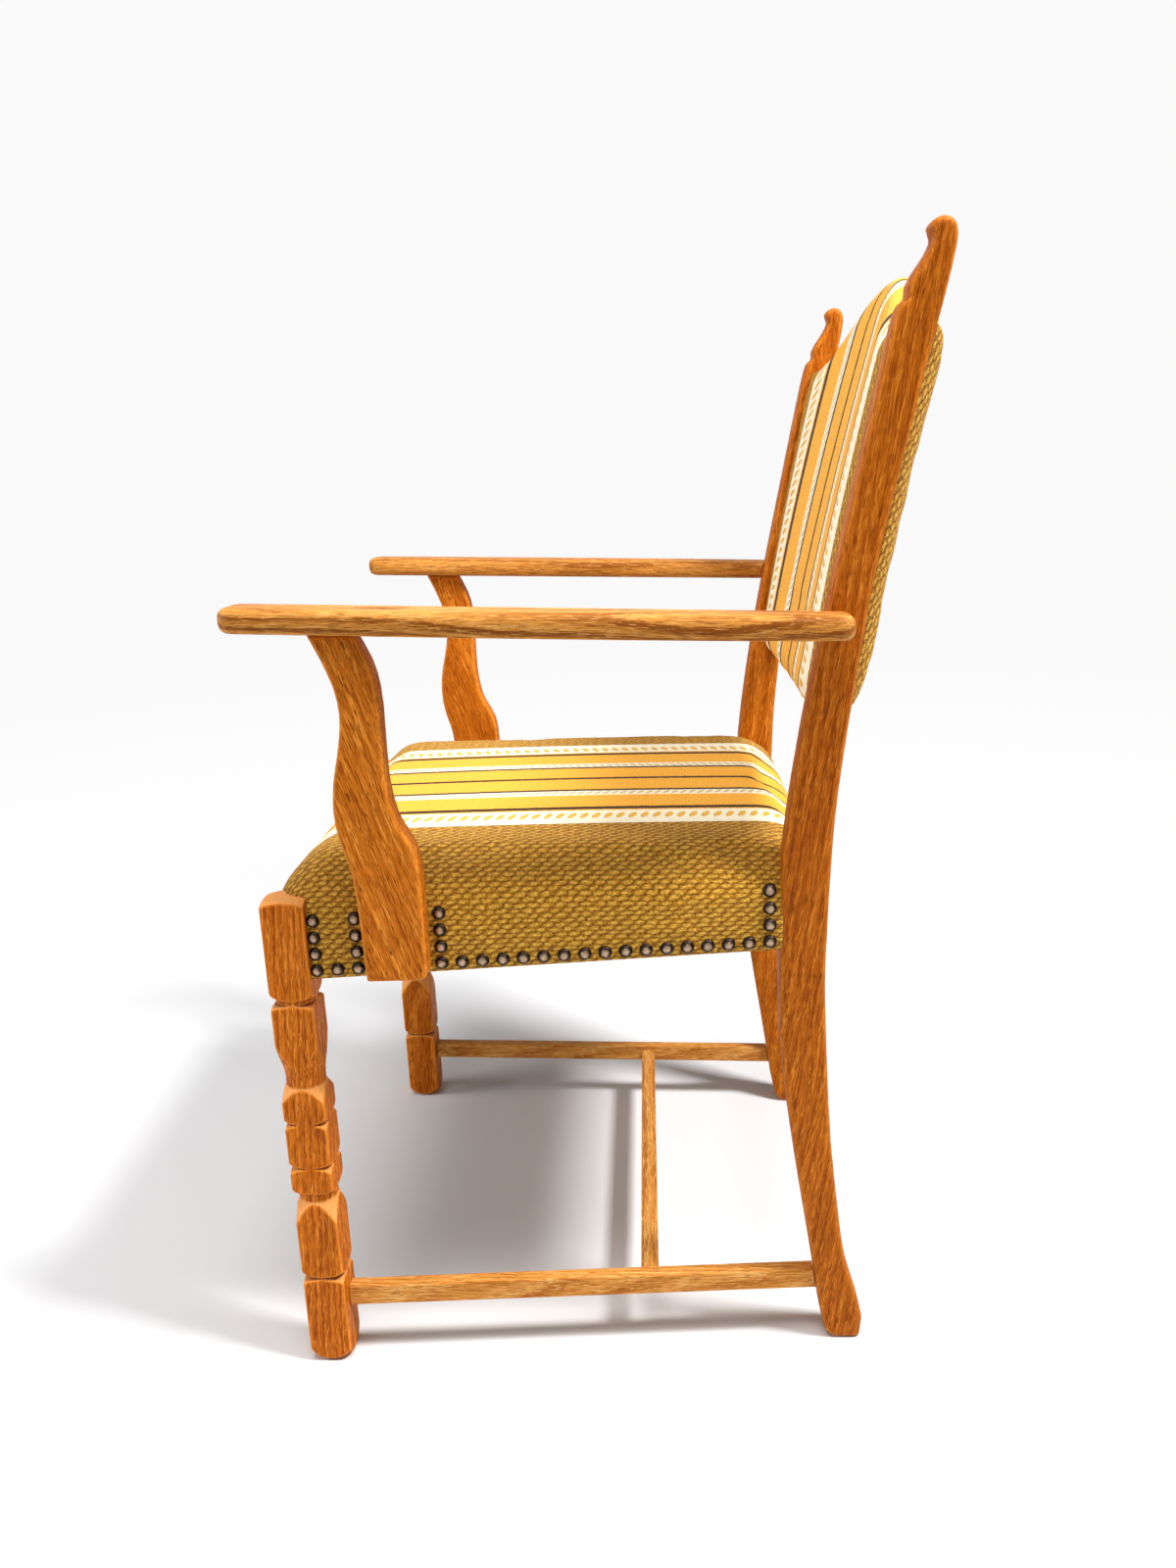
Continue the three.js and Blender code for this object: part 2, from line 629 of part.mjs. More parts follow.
// Closes a stack of rings with a flat lid below and a point above
function loft(rings, top) {
  const places = rings.flat();
  const count = rings[0].length;
  const bottom_index = places.length;
  places.push(middleOf(rings[0]), top);
  const faces = [];
  for (let i = 0; i < count; i += 1) {
    const next = (i + 1) % count;
    faces.push(bottom_index, next, i);
    for (let k = 0; k + 1 < rings.length; k += 1) {
      const [a, b] = [k * count + i, k * count + next];
      faces.push(a, b, b + count, a, b + count, a + count);
    }
    const last = (rings.length - 1) * count;
    faces.push(bottom_index + 1, last + i, last + next);
  }
  const geometry = new THREE.BufferGeometry();
  geometry.setAttribute('position', new THREE.BufferAttribute(Float32Array.from(places.flat()), 3));
  geometry.setIndex(new THREE.BufferAttribute(Uint32Array.from(faces), 1));
  return geometry;
}

function middleOf(ring) {
  const sum = ring.reduce((total, point) => total.map((value, axis) => value + point[axis]), [0, 0, 0]);
  return sum.map((value) => value / ring.length);
}

function seatBody(grow, low_share) {
  const rings = [];
  for (const share of wall_ring_shares) {
    const height = low_share + (seat_wall_share - low_share) * share;
    const reach = Math.max(0, height / seat_wall_share);
    const corner = mix(seat_corner_low, seat_corner_wall, reach * reach);
    rings.push(seatRing(bulged(reach), corner, height, grow));
  }
  const full = bulged(1);
  const roof_share = 1 + grow / (seat_edge_height - seat_underside);
  for (let i = 1; i <= roll_steps; i += 1) {
    const turn = i / roll_steps * Math.PI / 2;
    const inset = seat_roll * (1 - Math.cos(turn));
    const height = seat_wall_share + (roof_share - seat_wall_share) * Math.sin(turn);
    const corner = mix(seat_corner_wall, seat_corner_high, Math.sin(turn));
    rings.push(seatRing({ front: full.front + inset, rear: full.rear + inset, side: full.side + inset },
      corner, height, grow));
  }
  const edge = rings.at(-1);
  const centre = middleOf(edge);
  for (const share of roof_ring_shares) {
    const sunk = seat_dish * Math.sin(share * Math.PI / 2);
    rings.push(edge.map(([x, y, z]) => [
      x + (centre[0] - x) * share, y + (centre[1] - y) * share, z - sunk]));
  }
  const top = [centre[0], centre[1], centre[2] - seat_dish];
  return solid(loft(rings, top));
}

const notch_height = seat_edge_height - seat_underside;
const leg_notch = solid(block(leg_x - leg_half - joint_gap, leg_x + leg_half + cut_overrun,
  -leg_half - cut_overrun, rail_front_y, seat_underside - cut_overrun, leg_height + joint_gap));
const post_notch = solid(moved(post_blank, -joint_gap, 0, 0)).add(solid(moved(post_blank, joint_gap, 0, 0)))
  .add(post_shoulder).add(solid(moved(post_blank, 0, joint_gap, 0)));

function clearOfFrame(body) {
  return body.subtract(leg_notch).subtract(mirrored(leg_notch))
    .subtract(post_notch).subtract(mirrored(post_notch));
}

const open_below = -cut_overrun / notch_height;
const seat_cover = clearOfFrame(seatBody(0, 0).subtract(seatBody(-fabric_thickness, open_below)));

// Webbing: straps interlaced over and under, tacked on the rails
const strap_width = 50;
const strap_thickness = 1.6;
const strap_weave = 1.1;
const strap_lift = 0.3;
const hessian_thickness = 1;
const strap_half = strap_width / 2;
const rail_top_z = rail_height + strap_weave + strap_lift;
const strap_row_shares = [0.14, 0.38, 0.62, 0.86];
const strap_column_shares = [-0.56, 0, 0.56];
const strapRowY = (i) => front_rail_y + strap_row_shares[i] * (rear_rail_y - front_rail_y);
const strapColumnX = (i) => strap_column_shares[i] * (rear_rail_x - strap_half);

function strapPath(crossings, first_up, start, end) {
  const marks = [[start, 0]];
  crossings.forEach((middle, i) => {
    const side = (i % 2 === 0) === first_up ? 1 : -1;
    marks.push([middle - strap_half, side * strap_weave], [middle + strap_half, side * strap_weave]);
  });
  marks.push([end, 0]);
  return marks;
}

function strapSolid(marks, place_point) {
  const upper = marks.map(([along, rise]) => new THREE.Vector2(along, rise + strap_thickness / 2));
  const lower = marks.map(([along, rise]) => new THREE.Vector2(along, rise - strap_thickness / 2));
  const outline = new THREE.Shape([...lower, ...upper.reverse()]);
  const geometry = new THREE.ExtrudeGeometry(outline, { depth: strap_width, bevelEnabled: false });
  return solid(reshape(geometry.translate(0, 0, -strap_half), place_point));
}

const strapZ = (y) => undersideZ(y) + rail_top_z + strap_thickness / 2;

function alongStrap(i) {
  const rows = strap_row_shares.map((unused, row) => strapRowY(row));
  const marks = strapPath(rows, i % 2 === 0, front_rail_y - rail_half / 2, rear_rail_y + rail_half / 2);
  return strapSolid(marks, (point) => {
    const [along, rise, across] = [point.x, point.y, point.z];
    point.set(strapColumnX(i) + across, along, strapZ(along) + rise);
  });
}

function acrossStrap(i) {
  const columns = strap_column_shares.map((unused, column) => strapColumnX(column));
  const end = sideX(strapRowY(i)) + rail_half / 2;
  const marks = strapPath(columns, i % 2 === 1, -end, end);
  return strapSolid(marks, (point) => {
    const [along, rise, across] = [point.x, point.y, point.z];
    const y = strapRowY(i) - across;
    point.set(along, y, strapZ(y) + rise);
  });
}

const sheet_rise = strap_weave + strap_thickness + joint_gap;

function aboveStraps(point) {
  point.z += undersideZ(point.y) + rail_top_z + sheet_rise;
}

function trapezoid(inset, depth) {
  const front = front_rail_y + inset;
  const rear = rear_rail_y - inset;
  const wide = (y) => sideX(y) - inset;
  return new THREE.ExtrudeGeometry(new THREE.Shape([
    new THREE.Vector2(-wide(front), front), new THREE.Vector2(wide(front), front),
    new THREE.Vector2(wide(rear), rear), new THREE.Vector2(-wide(rear), rear)]),
  { depth, bevelEnabled: false });
}

const pad_base_reach = 24;
const pad_base_height = 160;

const seat_hessian = clearOfFrame(solid(reshape(trapezoid(0, hessian_thickness), aboveStraps)));

// The pad fills the cover above the hessian
const pad_base_shape = reshape(trapezoid(-pad_base_reach, pad_base_height), (point) => {
  aboveStraps(point);
  point.z += hessian_thickness + joint_gap;
});
const seat_pad = clearOfFrame(seatBody(-cover_offset, pad_low_share).intersect(solid(pad_base_shape)));

// Back panel: everything in it is drawn flat and then laid on the posts' own curve and dished
const panel_low_z = 569;
const panel_low_rise = 18;
const panel_shoulder_drop = 68;
const panel_shoulder_z = chair_height - panel_shoulder_drop;
const panel_peak = 61;
const panel_peak_width = 130;
const panel_peak_power = 2.5;
const panel_dish_low = 11;
const panel_dish_high = 22;
const panel_side_gap = 1;
const panel_frame_thickness = 24;
const panel_frame_width = 38;
const panel_front_depth = 18;
const panel_rear_depth = 31;
const panel_frame_front = -7;
const panel_front_roll = 28;
const panel_front_rise = 10;
const panel_rear_roll = 7;
const panel_front_crown = 3;
const panel_roll_steps = 3;
const panel_steps_x = 12;
const panel_steps_z = 5;
const panel_frame_rear = panel_frame_front + panel_frame_thickness;

const panelTopZ = (x) => panel_shoulder_z + panel_peak * Math.exp(
  -((Math.abs(x) / panel_peak_width) ** panel_peak_power));
const panelLowZ = (x) => panel_low_z + panel_low_rise * (x / postInnerX(panel_low_z)) ** 2;
const panelSideX = (z) => postInnerX(z) - panel_side_gap;
const spine_shares = [0.59, 0.755, 0.92];
const spine_points = spine_shares.map((share) => {
  const z = share * chair_height;
  return [z, (postFrontY(z) + postRearY(z)) / 2];
});

// The back's own curve: the parabola through the middle of the post at three heights
function spineAt(z) {
  return spine_points.reduce((total, [own_z, own_y], i) => spine_points.reduce(
    (value, [other_z], k) => (k === i ? value : value * (z - other_z) / (own_z - other_z)), own_y) + total, 0);
}

function ontoBack(point) {
  const spread = point.x / panelSideX(panel_shoulder_z);
  const rise = (point.z - panel_low_z) / (chair_height - panel_low_z);
  point.y += spineAt(point.z) + mix(panel_dish_low, panel_dish_high, rise) * (1 - spread * spread);
}

// A ring round the panel's outline, drawn in by an inset, at one depth
function panelRing(inset, depth) {
  const ring = [];
  const low_x = panelSideX(panelLowZ(panelSideX(panel_low_z))) - inset;
  const high_x = panelSideX(panelTopZ(panelSideX(panel_shoulder_z))) - inset;
  for (let i = 0; i < panel_steps_x; i += 1) {
    const x = low_x * (2 * i / panel_steps_x - 1);
    ring.push([x, depth, panelLowZ(x) + inset]);
  }
  const rows = (from_x, from_z, to_x, to_z) => {
    for (let i = 0; i < panel_steps_z; i += 1) {
      const share = i / panel_steps_z;
      ring.push([from_x + (to_x - from_x) * share, depth, from_z + (to_z - from_z) * share]);
    }
  };
  rows(low_x, panelLowZ(low_x) + inset, high_x, panelTopZ(high_x) - inset);
  for (let i = 0; i < panel_steps_x; i += 1) {
    const x = high_x * (1 - 2 * i / panel_steps_x);
    ring.push([x, depth, panelTopZ(x) - inset]);
  }
  rows(-high_x, panelTopZ(high_x) - inset, -low_x, panelLowZ(low_x) + inset);
  return ring;
}

const crown_ring_shares = [0.4, 0.75];

function drawnIn(ring, depth) {
  const centre = middleOf(ring);
  return crown_ring_shares.map((share) => ring.map(([x, y, z]) => [
    x + (centre[0] - x) * share, y + depth * Math.sin(share * Math.PI / 2), z + (centre[2] - z) * share]));
}

function panelStack(levels) {
  const rings = levels.map(([inset, depth]) => panelRing(inset, depth));
  const toward = Math.sign(levels.at(-1)[1] - levels[0][1]);
  const crown = toward * panel_front_crown;
  const all_rings = [...drawnIn(rings[0], 0).reverse(), ...rings, ...drawnIn(rings.at(-1), crown)];
  const top = middleOf(rings.at(-1));
  top[1] += crown;
  const geometry = reshape(loft(all_rings, top), ontoBack);
  if (toward > 0) geometry.index.array.reverse();
  return solid(geometry);
}

function rolledLevels(start, wall_end, face, roll, grow) {
  const end = face + Math.sign(face - start) * grow;
  const levels = [[-grow, start], [-grow, wall_end]];
  for (let i = 1; i <= panel_roll_steps; i += 1) {
    const turn = i / panel_roll_steps * Math.PI / 2;
    levels.push([roll * (1 - Math.cos(turn)) - grow, mix(wall_end, end, Math.sin(turn))]);
  }
  return levels;
}

// The same levels, begun at a depth that may lie past the wall, on the roll
function beyond(levels, depth) {
  const toward = Math.sign(levels.at(-1)[1] - levels[0][1]);
  const passed = levels.findIndex((level) => (level[1] - depth) * toward > 0);
  const [before, after] = [levels[passed - 1], levels[passed]];
  const share = (depth - before[1]) / (after[1] - before[1]);
  return [[mix(before[0], after[0], share), depth], ...levels.slice(passed)];
}

function panelSkin(start, wall_end, face, roll) {
  const toward = Math.sign(face - start);
  const outer = panelStack(rolledLevels(start, wall_end, face, roll, 0));
  const inner = panelStack(rolledLevels(start - toward * cut_overrun, wall_end, face, roll, -fabric_thickness));
  return outer.subtract(inner);
}

function panelFill(depth, wall_end, face, roll) {
  const middle = (panel_frame_front + panel_frame_rear) / 2;
  return panelStack(beyond(rolledLevels(middle, wall_end, face, roll, -cover_offset), depth));
}

const back_cover_front_blank = panelSkin(panel_frame_rear, -panel_front_depth + panel_front_rise,
  -panel_front_depth, panel_front_roll);
const back_cover_rear = panelSkin(panel_frame_rear + joint_gap, panel_rear_depth - panel_rear_roll + joint_gap,
  panel_rear_depth, panel_rear_roll);

// Inner frame of the back: two stiles with the shaped rails tenoned between them
const edge_padding = 1.6;
const frame_inset = fabric_thickness + edge_padding;
const frame_tenon_length = 20;
const frame_tenon_thickness = 8;
const top_rail_share = 1.3;
const stile_steps = 8;
const rail_steps = 12;
const tenon_steps = 2;

// A board of the back: its edges are given over x, and its sides over the share of its height
function panelBoard(edges, front, rear, steps_x, steps_z) {
  const box = new THREE.BoxGeometry(1, 1, 1, steps_x, 1, steps_z).translate(1 / 2, 1 / 2, 1 / 2);
  return solid(reshape(box, (point) => {
    const x = mix(edges.left(point.z), edges.right(point.z), point.x);
    point.set(x, mix(front, rear, point.y), mix(edges.low(x), edges.high(x), point.z));
    ontoBack(point);
  }));
}

const stile_low_x = panelSideX(panelLowZ(panelSideX(panel_low_z))) - frame_inset;
const stile_high_x = panelSideX(panelTopZ(panelSideX(panel_shoulder_z))) - frame_inset;
const stile_inner_x = stile_low_x - panel_frame_width;
const stileLowZ = (x) => panelLowZ(x) + frame_inset;
const stileTopZ = (x) => panelTopZ(x) - frame_inset;

function railPair(low, high) {
  const inner_x = stile_inner_x - joint_gap;
  const body = panelBoard({ left: () => -inner_x, right: () => inner_x, low, high },
    panel_frame_front, panel_frame_rear, rail_steps, tenon_steps);
  const middle = (panel_frame_front + panel_frame_rear) / 2;
  const reach = frame_tenon_thickness / 2;
  const tenon = (gap) => panelBoard({
    left: () => inner_x - cut_overrun,
    right: () => inner_x + frame_tenon_length + gap,
    low: (x) => low(x) + tenon_shoulder - gap,
    high: (x) => high(x) - tenon_shoulder + gap,
  }, middle - reach - gap, middle + reach + gap, tenon_steps, 1);
  return { rail: body.add(tenon(0)).add(mirrored(tenon(0))), mortise: tenon(tenon_gap) };
}

const top_rail = railPair((x) => stileTopZ(x) - panel_frame_width * top_rail_share, stileTopZ);
const low_rail = railPair(stileLowZ, (x) => stileLowZ(x) + panel_frame_width);
const stile_solid = panelBoard({
  left: () => stile_inner_x,
  right: (share) => mix(stile_low_x, stile_high_x, share),
  low: stileLowZ,
  high: stileTopZ,
}, panel_frame_front, panel_frame_rear, tenon_steps, stile_steps);

// Dowels between the posts and the stiles
const panel_dowel_shares = { lower: 0.18, upper: 0.8 };
const panel_dowel_depth = 12;
const panel_dowel_forward = 2;

function panelDowel(height_share, gap) {
  const z = stileLowZ(stile_low_x) + height_share * (stileTopZ(stile_high_x) - stileLowZ(stile_low_x));
  const start = new THREE.Vector3(panelSideX(z) + panel_side_gap + panel_dowel_depth, 0, z);
  start.y = spineAt(z) + (panel_frame_front + panel_frame_rear) / 2 - panel_dowel_forward;
  return peg(start, new THREE.Vector3(-1, 0, 0), 2 * panel_dowel_depth + frame_inset, dowel_radius, gap);
}

const panelDowels = (gap) => panelDowel(panel_dowel_shares.lower, gap)
  .add(panelDowel(panel_dowel_shares.upper, gap));
const back_stile = stile_solid.subtract(top_rail.mortise).subtract(low_rail.mortise).subtract(panelDowels(peg_gap));
const back_cover_front = back_cover_front_blank.subtract(panelDowels(peg_gap))
  .subtract(mirrored(panelDowels(peg_gap)));

// Webbing of the back: two straps upright and three across, tacked to the front of the frame
const back_strap_rear = panel_frame_front - joint_gap;
const back_upright_share = 0.36;
const back_across_shares = [0.24, 0.48, 0.72];
const back_rail_overlap = 14;
const strap_steps = 12;
const pad_gap = 1.6;

function backStrap(edges, rear, steps_x, steps_z) {
  return panelBoard(edges, rear - strap_thickness, rear, steps_x, steps_z);
}

function uprightStrap(side) {
  const middle = side * back_upright_share * stile_inner_x;
  return backStrap({
    left: () => middle - strap_half,
    right: () => middle + strap_half,
    low: (x) => stileLowZ(x) + back_rail_overlap,
    high: (x) => stileTopZ(x) - back_rail_overlap,
  }, back_strap_rear, tenon_steps, strap_steps);
}

function acrossBack(share) {
  const z = panel_low_z + share * (panel_shoulder_z + panel_peak - panel_low_z);
  const end = stile_inner_x + back_rail_overlap;
  return backStrap({ left: () => -end, right: () => end, low: () => z - strap_half, high: () => z + strap_half },
    back_strap_rear - strap_thickness - joint_gap, rail_steps, tenon_steps);
}

const pad_back = back_strap_rear - 2 * strap_thickness - joint_gap - pad_gap;
const back_pad_front = panelFill(pad_back, -panel_front_depth + panel_front_rise - joint_gap,
  -panel_front_depth, panel_front_roll);
const back_pad_rear = panelFill(panel_frame_rear + pad_gap + joint_gap,
  panel_rear_depth - panel_rear_roll + joint_gap, panel_rear_depth, panel_rear_roll);

// The finished pieces, in the order in which the chair goes together
const front_leg = leg_blank.subtract(sideTenon(rail_front_y - tenon_length, rail_front_y + cut_overrun, tenon_gap))
  .subtract(crossTenon(front_rail_x, front_rail_y, seat_underside, tenon_gap))
  .subtract(stretcherTenon(stretcher_front_y - tenon_length, stretcher_front_y + cut_overrun, tenon_gap))
  .subtract(frontCornerScrew(peg_gap));
const back_post = post_solid.subtract(sideTenon(post_line - cut_overrun, post_line + tenon_length, tenon_gap))
  .subtract(crossTenon(rear_rail_x, rear_rail_y, rail_rear_z, tenon_gap))
  .subtract(stretcherTenon(stretcher_rear_y - cut_overrun, stretcher_rear_y + tenon_length, tenon_gap))
  .subtract(rearCornerScrew(peg_gap)).subtract(armDowel(peg_gap)).subtract(panelDowels(peg_gap));
const supportScrews = (gap) => supportScrew(support_screw_shares.lower, gap)
  .add(supportScrew(support_screw_shares.upper, gap));

placePair('front_leg', front_leg, oak);
placePair('back_post', back_post, oak);
placePair('side_stretcher', side_stretcher, oak);
place('cross_stretcher', cross_stretcher, oak);
place('seat_rail_front', front_rail, frame_wood);
place('seat_rail_rear', rear_rail, frame_wood);
placePair('seat_rail', side_rail_blank.subtract(supportScrews(peg_gap)).subtract(rearCornerScrew(peg_gap)), frame_wood);
placePair('corner_block_front', front_corner_block, frame_wood);
placePair('corner_block_rear', rear_corner_block, frame_wood);
placePair('corner_screw_front', frontCornerScrew(0), steel);
placePair('corner_screw_rear', rearCornerScrew(0), steel);
placePair('arm', arm_blank.subtract(armDowel(peg_gap)).subtract(supportDowel(peg_gap)), oak);
placePair('arm_dowel', armDowel(0), dowel_wood);
placePair('arm_support', support_blank.subtract(supportDowel(peg_gap)).subtract(supportScrews(peg_gap)), oak);
placePair('support_dowel', supportDowel(0), dowel_wood);
placePair('support_screw_lower', supportScrew(support_screw_shares.lower, 0), steel);
placePair('support_screw_upper', supportScrew(support_screw_shares.upper, 0), steel);
strap_column_shares.forEach((share, i) => place(`seat_strap_along_${i + 1}`, alongStrap(i), jute));
strap_row_shares.forEach((share, i) => place(`seat_strap_across_${i + 1}`, acrossStrap(i), jute));
place('seat_hessian', seat_hessian, hessian);
place('seat_pad', seat_pad, foam);
place('seat_cover', seat_cover.subtract(supportScrews(peg_gap)).subtract(mirrored(supportScrews(peg_gap))),
  stripe_fabric);
placePair('back_stile', back_stile, frame_wood);
place('back_top_rail', top_rail.rail, frame_wood);
place('back_low_rail', low_rail.rail, frame_wood);
placePair('back_dowel_lower', panelDowel(panel_dowel_shares.lower, 0), dowel_wood);
placePair('back_dowel_upper', panelDowel(panel_dowel_shares.upper, 0), dowel_wood);
place('back_strap_upright_left', uprightStrap(1), jute);
place('back_strap_upright_right', uprightStrap(-1), jute);
back_across_shares.forEach((share, i) => place(`back_strap_across_${i + 1}`, acrossBack(share), jute));
place('back_pad_front', back_pad_front, foam);
place('back_pad_rear', back_pad_rear, wadding);
place('back_cover_front', back_cover_front, stripe_fabric);
place('back_cover_rear', back_cover_rear, stripe_fabric);

// The part's origin: on the floor, in the middle of the whole chair
const extent = new THREE.Box3().setFromObject(chair);
chair.position.y = -(extent.min.y + extent.max.y) / 2;

export default chair;
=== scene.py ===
import math

import bmesh
import bpy
import numpy as np
from mathutils import Matrix, Vector
from mathutils.bvhtree import BVHTree


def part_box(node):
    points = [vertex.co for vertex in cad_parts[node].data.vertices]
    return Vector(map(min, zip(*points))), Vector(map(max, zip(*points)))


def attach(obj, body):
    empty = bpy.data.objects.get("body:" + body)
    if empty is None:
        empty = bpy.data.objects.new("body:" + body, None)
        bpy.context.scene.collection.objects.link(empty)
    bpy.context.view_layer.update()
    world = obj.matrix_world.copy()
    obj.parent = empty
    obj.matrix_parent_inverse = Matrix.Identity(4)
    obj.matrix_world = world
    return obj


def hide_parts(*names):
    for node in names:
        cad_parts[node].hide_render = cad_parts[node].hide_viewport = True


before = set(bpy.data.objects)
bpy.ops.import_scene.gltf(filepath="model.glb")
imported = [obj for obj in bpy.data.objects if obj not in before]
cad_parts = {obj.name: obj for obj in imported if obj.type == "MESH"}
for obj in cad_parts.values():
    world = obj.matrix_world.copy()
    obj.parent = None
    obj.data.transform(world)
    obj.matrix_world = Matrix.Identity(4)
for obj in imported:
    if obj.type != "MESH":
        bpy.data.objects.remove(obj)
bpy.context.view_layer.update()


# Front legs: each is one square oak bar, turned between centres, so that its flats end in arches,
# domes and points. They are sanded by hand, which softens every arris, and oiled.
leg_low, leg_high = (Vector(corner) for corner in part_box("front_leg_left"))
leg_height = leg_high.z
leg_half = (leg_high.x - leg_low.x) / 2
leg_rake = 0.005
leg_x = (leg_low.x + leg_high.x) / 2
front_line = leg_low.y + leg_half
turning_radius = leg_half * math.sqrt(2) * 1.03
sole_radius = 0.010
arris_round = 0.0014
sharpest_bend = 190.0
leg_voxel = 0.0009
turning_steps = 72
turning_depth = 0.0004
foot_round, top_round, top_share = 0.05, 0.982, 0.55
leg_notches = [
    (0.172, 0.190, 0.197, 0.226, 0.95, "dome", "dome"),
    (0.312, 0.368, 0.386, 0.409, 0.93, "cone", "dome"),
    (0.418, 0.4415, 0.4445, 0.470, 0.985, "dome", "dome"),
    (0.516, 0.5375, 0.5405, 0.564, 0.985, "dome", "dome"),
    (0.581, 0.616, 0.632, 0.735, 0.93, "cone", "cyma"),
    (0.7735, 0.7882, 0.8006, 0.838, 0.95, "dome", "dome"),
]


def turned_stretch(kind, start, end, steps=8):
    """Points of the profile, as radius and height, from the bar's corner at start in to the end."""
    stretch = []
    for i in range(steps + 1):
        share = i / steps
        turn = share * math.pi / 2
        inward = {"dome": 1 - math.cos(turn), "cone": share, "cyma": (1 - math.cos(2 * turn)) / 2}[kind]
        along = math.sin(turn) if kind == "dome" else share
        stretch.append((start[0] + (end[0] - start[0]) * inward, start[1] + (end[1] - start[1]) * along))
    return stretch


def leg_profile():
    """The turner's profile. A notch has the heights, as shares, at which it starts, reaches its waist, leaves
    it and ends, its waist as a share of half the bar, and its forms below and above the waist."""
    foot = turned_stretch("dome", (turning_radius, foot_round), (sole_radius, 0))
    profile = [(0, 0)] + foot[::-1]
    for start, low, high, end, waist, below, above in leg_notches:
        radius = waist * leg_half
        profile += turned_stretch(below, (turning_radius, start), (radius, low))
        profile += turned_stretch(above, (turning_radius, end), (radius, high))[::-1]
    profile += turned_stretch("dome", (turning_radius, top_round), (leg_half * top_share, 1)) + [(0, 1)]
    return [Vector((radius, 0, share * leg_height)) for radius, share in profile]


def linked_object(name, bm):
    mesh = bpy.data.meshes.new(name)
    bm.to_mesh(mesh)
    bm.free()
    made = bpy.data.objects.new(name, mesh)
    bpy.context.scene.collection.objects.link(made)
    return made


def new_piece(name, bm, material, node=None):
    """A piece of the chair, shaded smooth, riding on the chair and standing for its CAD node."""
    piece = linked_object(name, bm)
    piece.data.materials.append(material)
    piece.data.shade_smooth()
    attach(piece, "root")
    if node:
        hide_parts(node)
    return piece


def apply_modifiers(piece):
    graph = bpy.context.evaluated_depsgraph_get()
    mesh = bpy.data.meshes.new_from_object(piece.evaluated_get(graph), depsgraph=graph)
    piece.modifiers.clear()
    piece.data = mesh


def mark_wear_and_painted_light(piece):
    """Keeps on each corner how sharply the wood bends there: up to 1 on an arris, down to -1 in a groove."""
    mesh = piece.data
    ends = np.empty(2 * len(mesh.edges), dtype=np.int32)
    places = np.empty(3 * len(mesh.vertices))
    normals = np.empty(3 * len(mesh.vertices))
    mesh.edges.foreach_get("vertices", ends)
    mesh.vertices.foreach_get("co", places)
    mesh.vertices.foreach_get("normal", normals)
    ends, places, normals = ends.reshape(-1, 2), places.reshape(-1, 3), normals.reshape(-1, 3)
    along = places[ends[:, 1]] - places[ends[:, 0]]
    turned = normals[ends[:, 1]] - normals[ends[:, 0]]
    bend = (turned * along).sum(axis=1) / np.maximum((along * along).sum(axis=1), 1e-12)
    total, count = np.zeros(len(places)), np.zeros(len(places))
    for end in (0, 1):
        np.add.at(total, ends[:, end], bend)
        np.add.at(count, ends[:, end], 1)
    # The wood uses this to paint arrises lighter, for real wear and as a highlight, and grooves darker as
    # painted shade.
    wear_and_painted_light = np.clip(total / np.maximum(count, 1) / sharpest_bend, -1, 1)
    mesh.attributes.new("wear_and_painted_light", "FLOAT", "POINT").data.foreach_set("value", wear_and_painted_light.astype(np.float32))


def even_and_sanded(piece, voxel, strokes):
    """Gives a piece an even mesh and smooths it with a number of sanding strokes."""
    even = piece.modifiers.new("even", "REMESH")
    even.mode, even.voxel_size = "VOXEL", voxel
    sanded = piece.modifiers.new("sanded", "SMOOTH")
    sanded.factor, sanded.iterations = 0.5, strokes


def carved_leg():
    """The turned profile and the square bar, kept where both are, with the arrises sanded soft."""
    turned = bmesh.new()
    points = [turned.verts.new(point) for point in leg_profile()]
    lines = [turned.edges.new(pair) for pair in zip(points, points[1:])]
    bmesh.ops.spin(turned, geom=points + lines, cent=(0, 0, 0), axis=(0, 0, 1), angle=2 * math.pi,
                   steps=turning_steps, use_merge=True)
    bmesh.ops.remove_doubles(turned, verts=turned.verts, dist=1e-6)
    bmesh.ops.recalc_face_normals(turned, faces=turned.faces)
    bar = bmesh.new()
    size = Matrix.Diagonal((2 * leg_half, 2 * leg_half, leg_height * 1.1, 1))
    bmesh.ops.create_cube(bar, size=1, matrix=Matrix.Translation((0, 0, leg_height / 2)) @ size)
    upright = [e for e in bar.edges if abs(e.verts[0].co.z - e.verts[1].co.z) > leg_half]
    bmesh.ops.bevel(bar, geom=upright, offset=arris_round, offset_type="OFFSET", affect="EDGES", segments=3,
                    profile=0.5, material=-1)
    cutter = linked_object("turned profile", turned)
    leg = linked_object("square bar", bar)
    kept = leg.modifiers.new("kept", "BOOLEAN")
    kept.operation, kept.solver, kept.object = "INTERSECT", "EXACT", cutter
    even_and_sanded(leg, leg_voxel, 2)
    apply_modifiers(leg)
    bm = bmesh.new()
    bm.from_mesh(leg.data)
    bpy.data.objects.remove(leg)
    bpy.data.objects.remove(cutter)
    lit_end_grain = bm.verts.layers.float.new("lit end grain")
    for vert in bm.verts:
        sunk = (leg_half - max(abs(vert.co.x), abs(vert.co.y)) - turning_depth) / turning_depth
        # The turned end grain is marked only where it faces up: its real paler tone, and painted light from
        # above.
        lit_from_above = min(1.0, max(0.0, (vert.normal.z - 0.04) / 0.3))
        vert[lit_end_grain] = min(1.0, max(0.0, sunk)) * lit_from_above
        vert.co.x += leg_x
        vert.co.y += front_line + leg_rake * (1 - vert.co.z / leg_height)
    return bm


def mirrored(bm):
    """The same piece for the other side of the chair."""
    other = bm.copy()
    for vert in other.verts:
        vert.co.x = -vert.co.x
    bmesh.ops.reverse_faces(other, faces=other.faces)
    return other


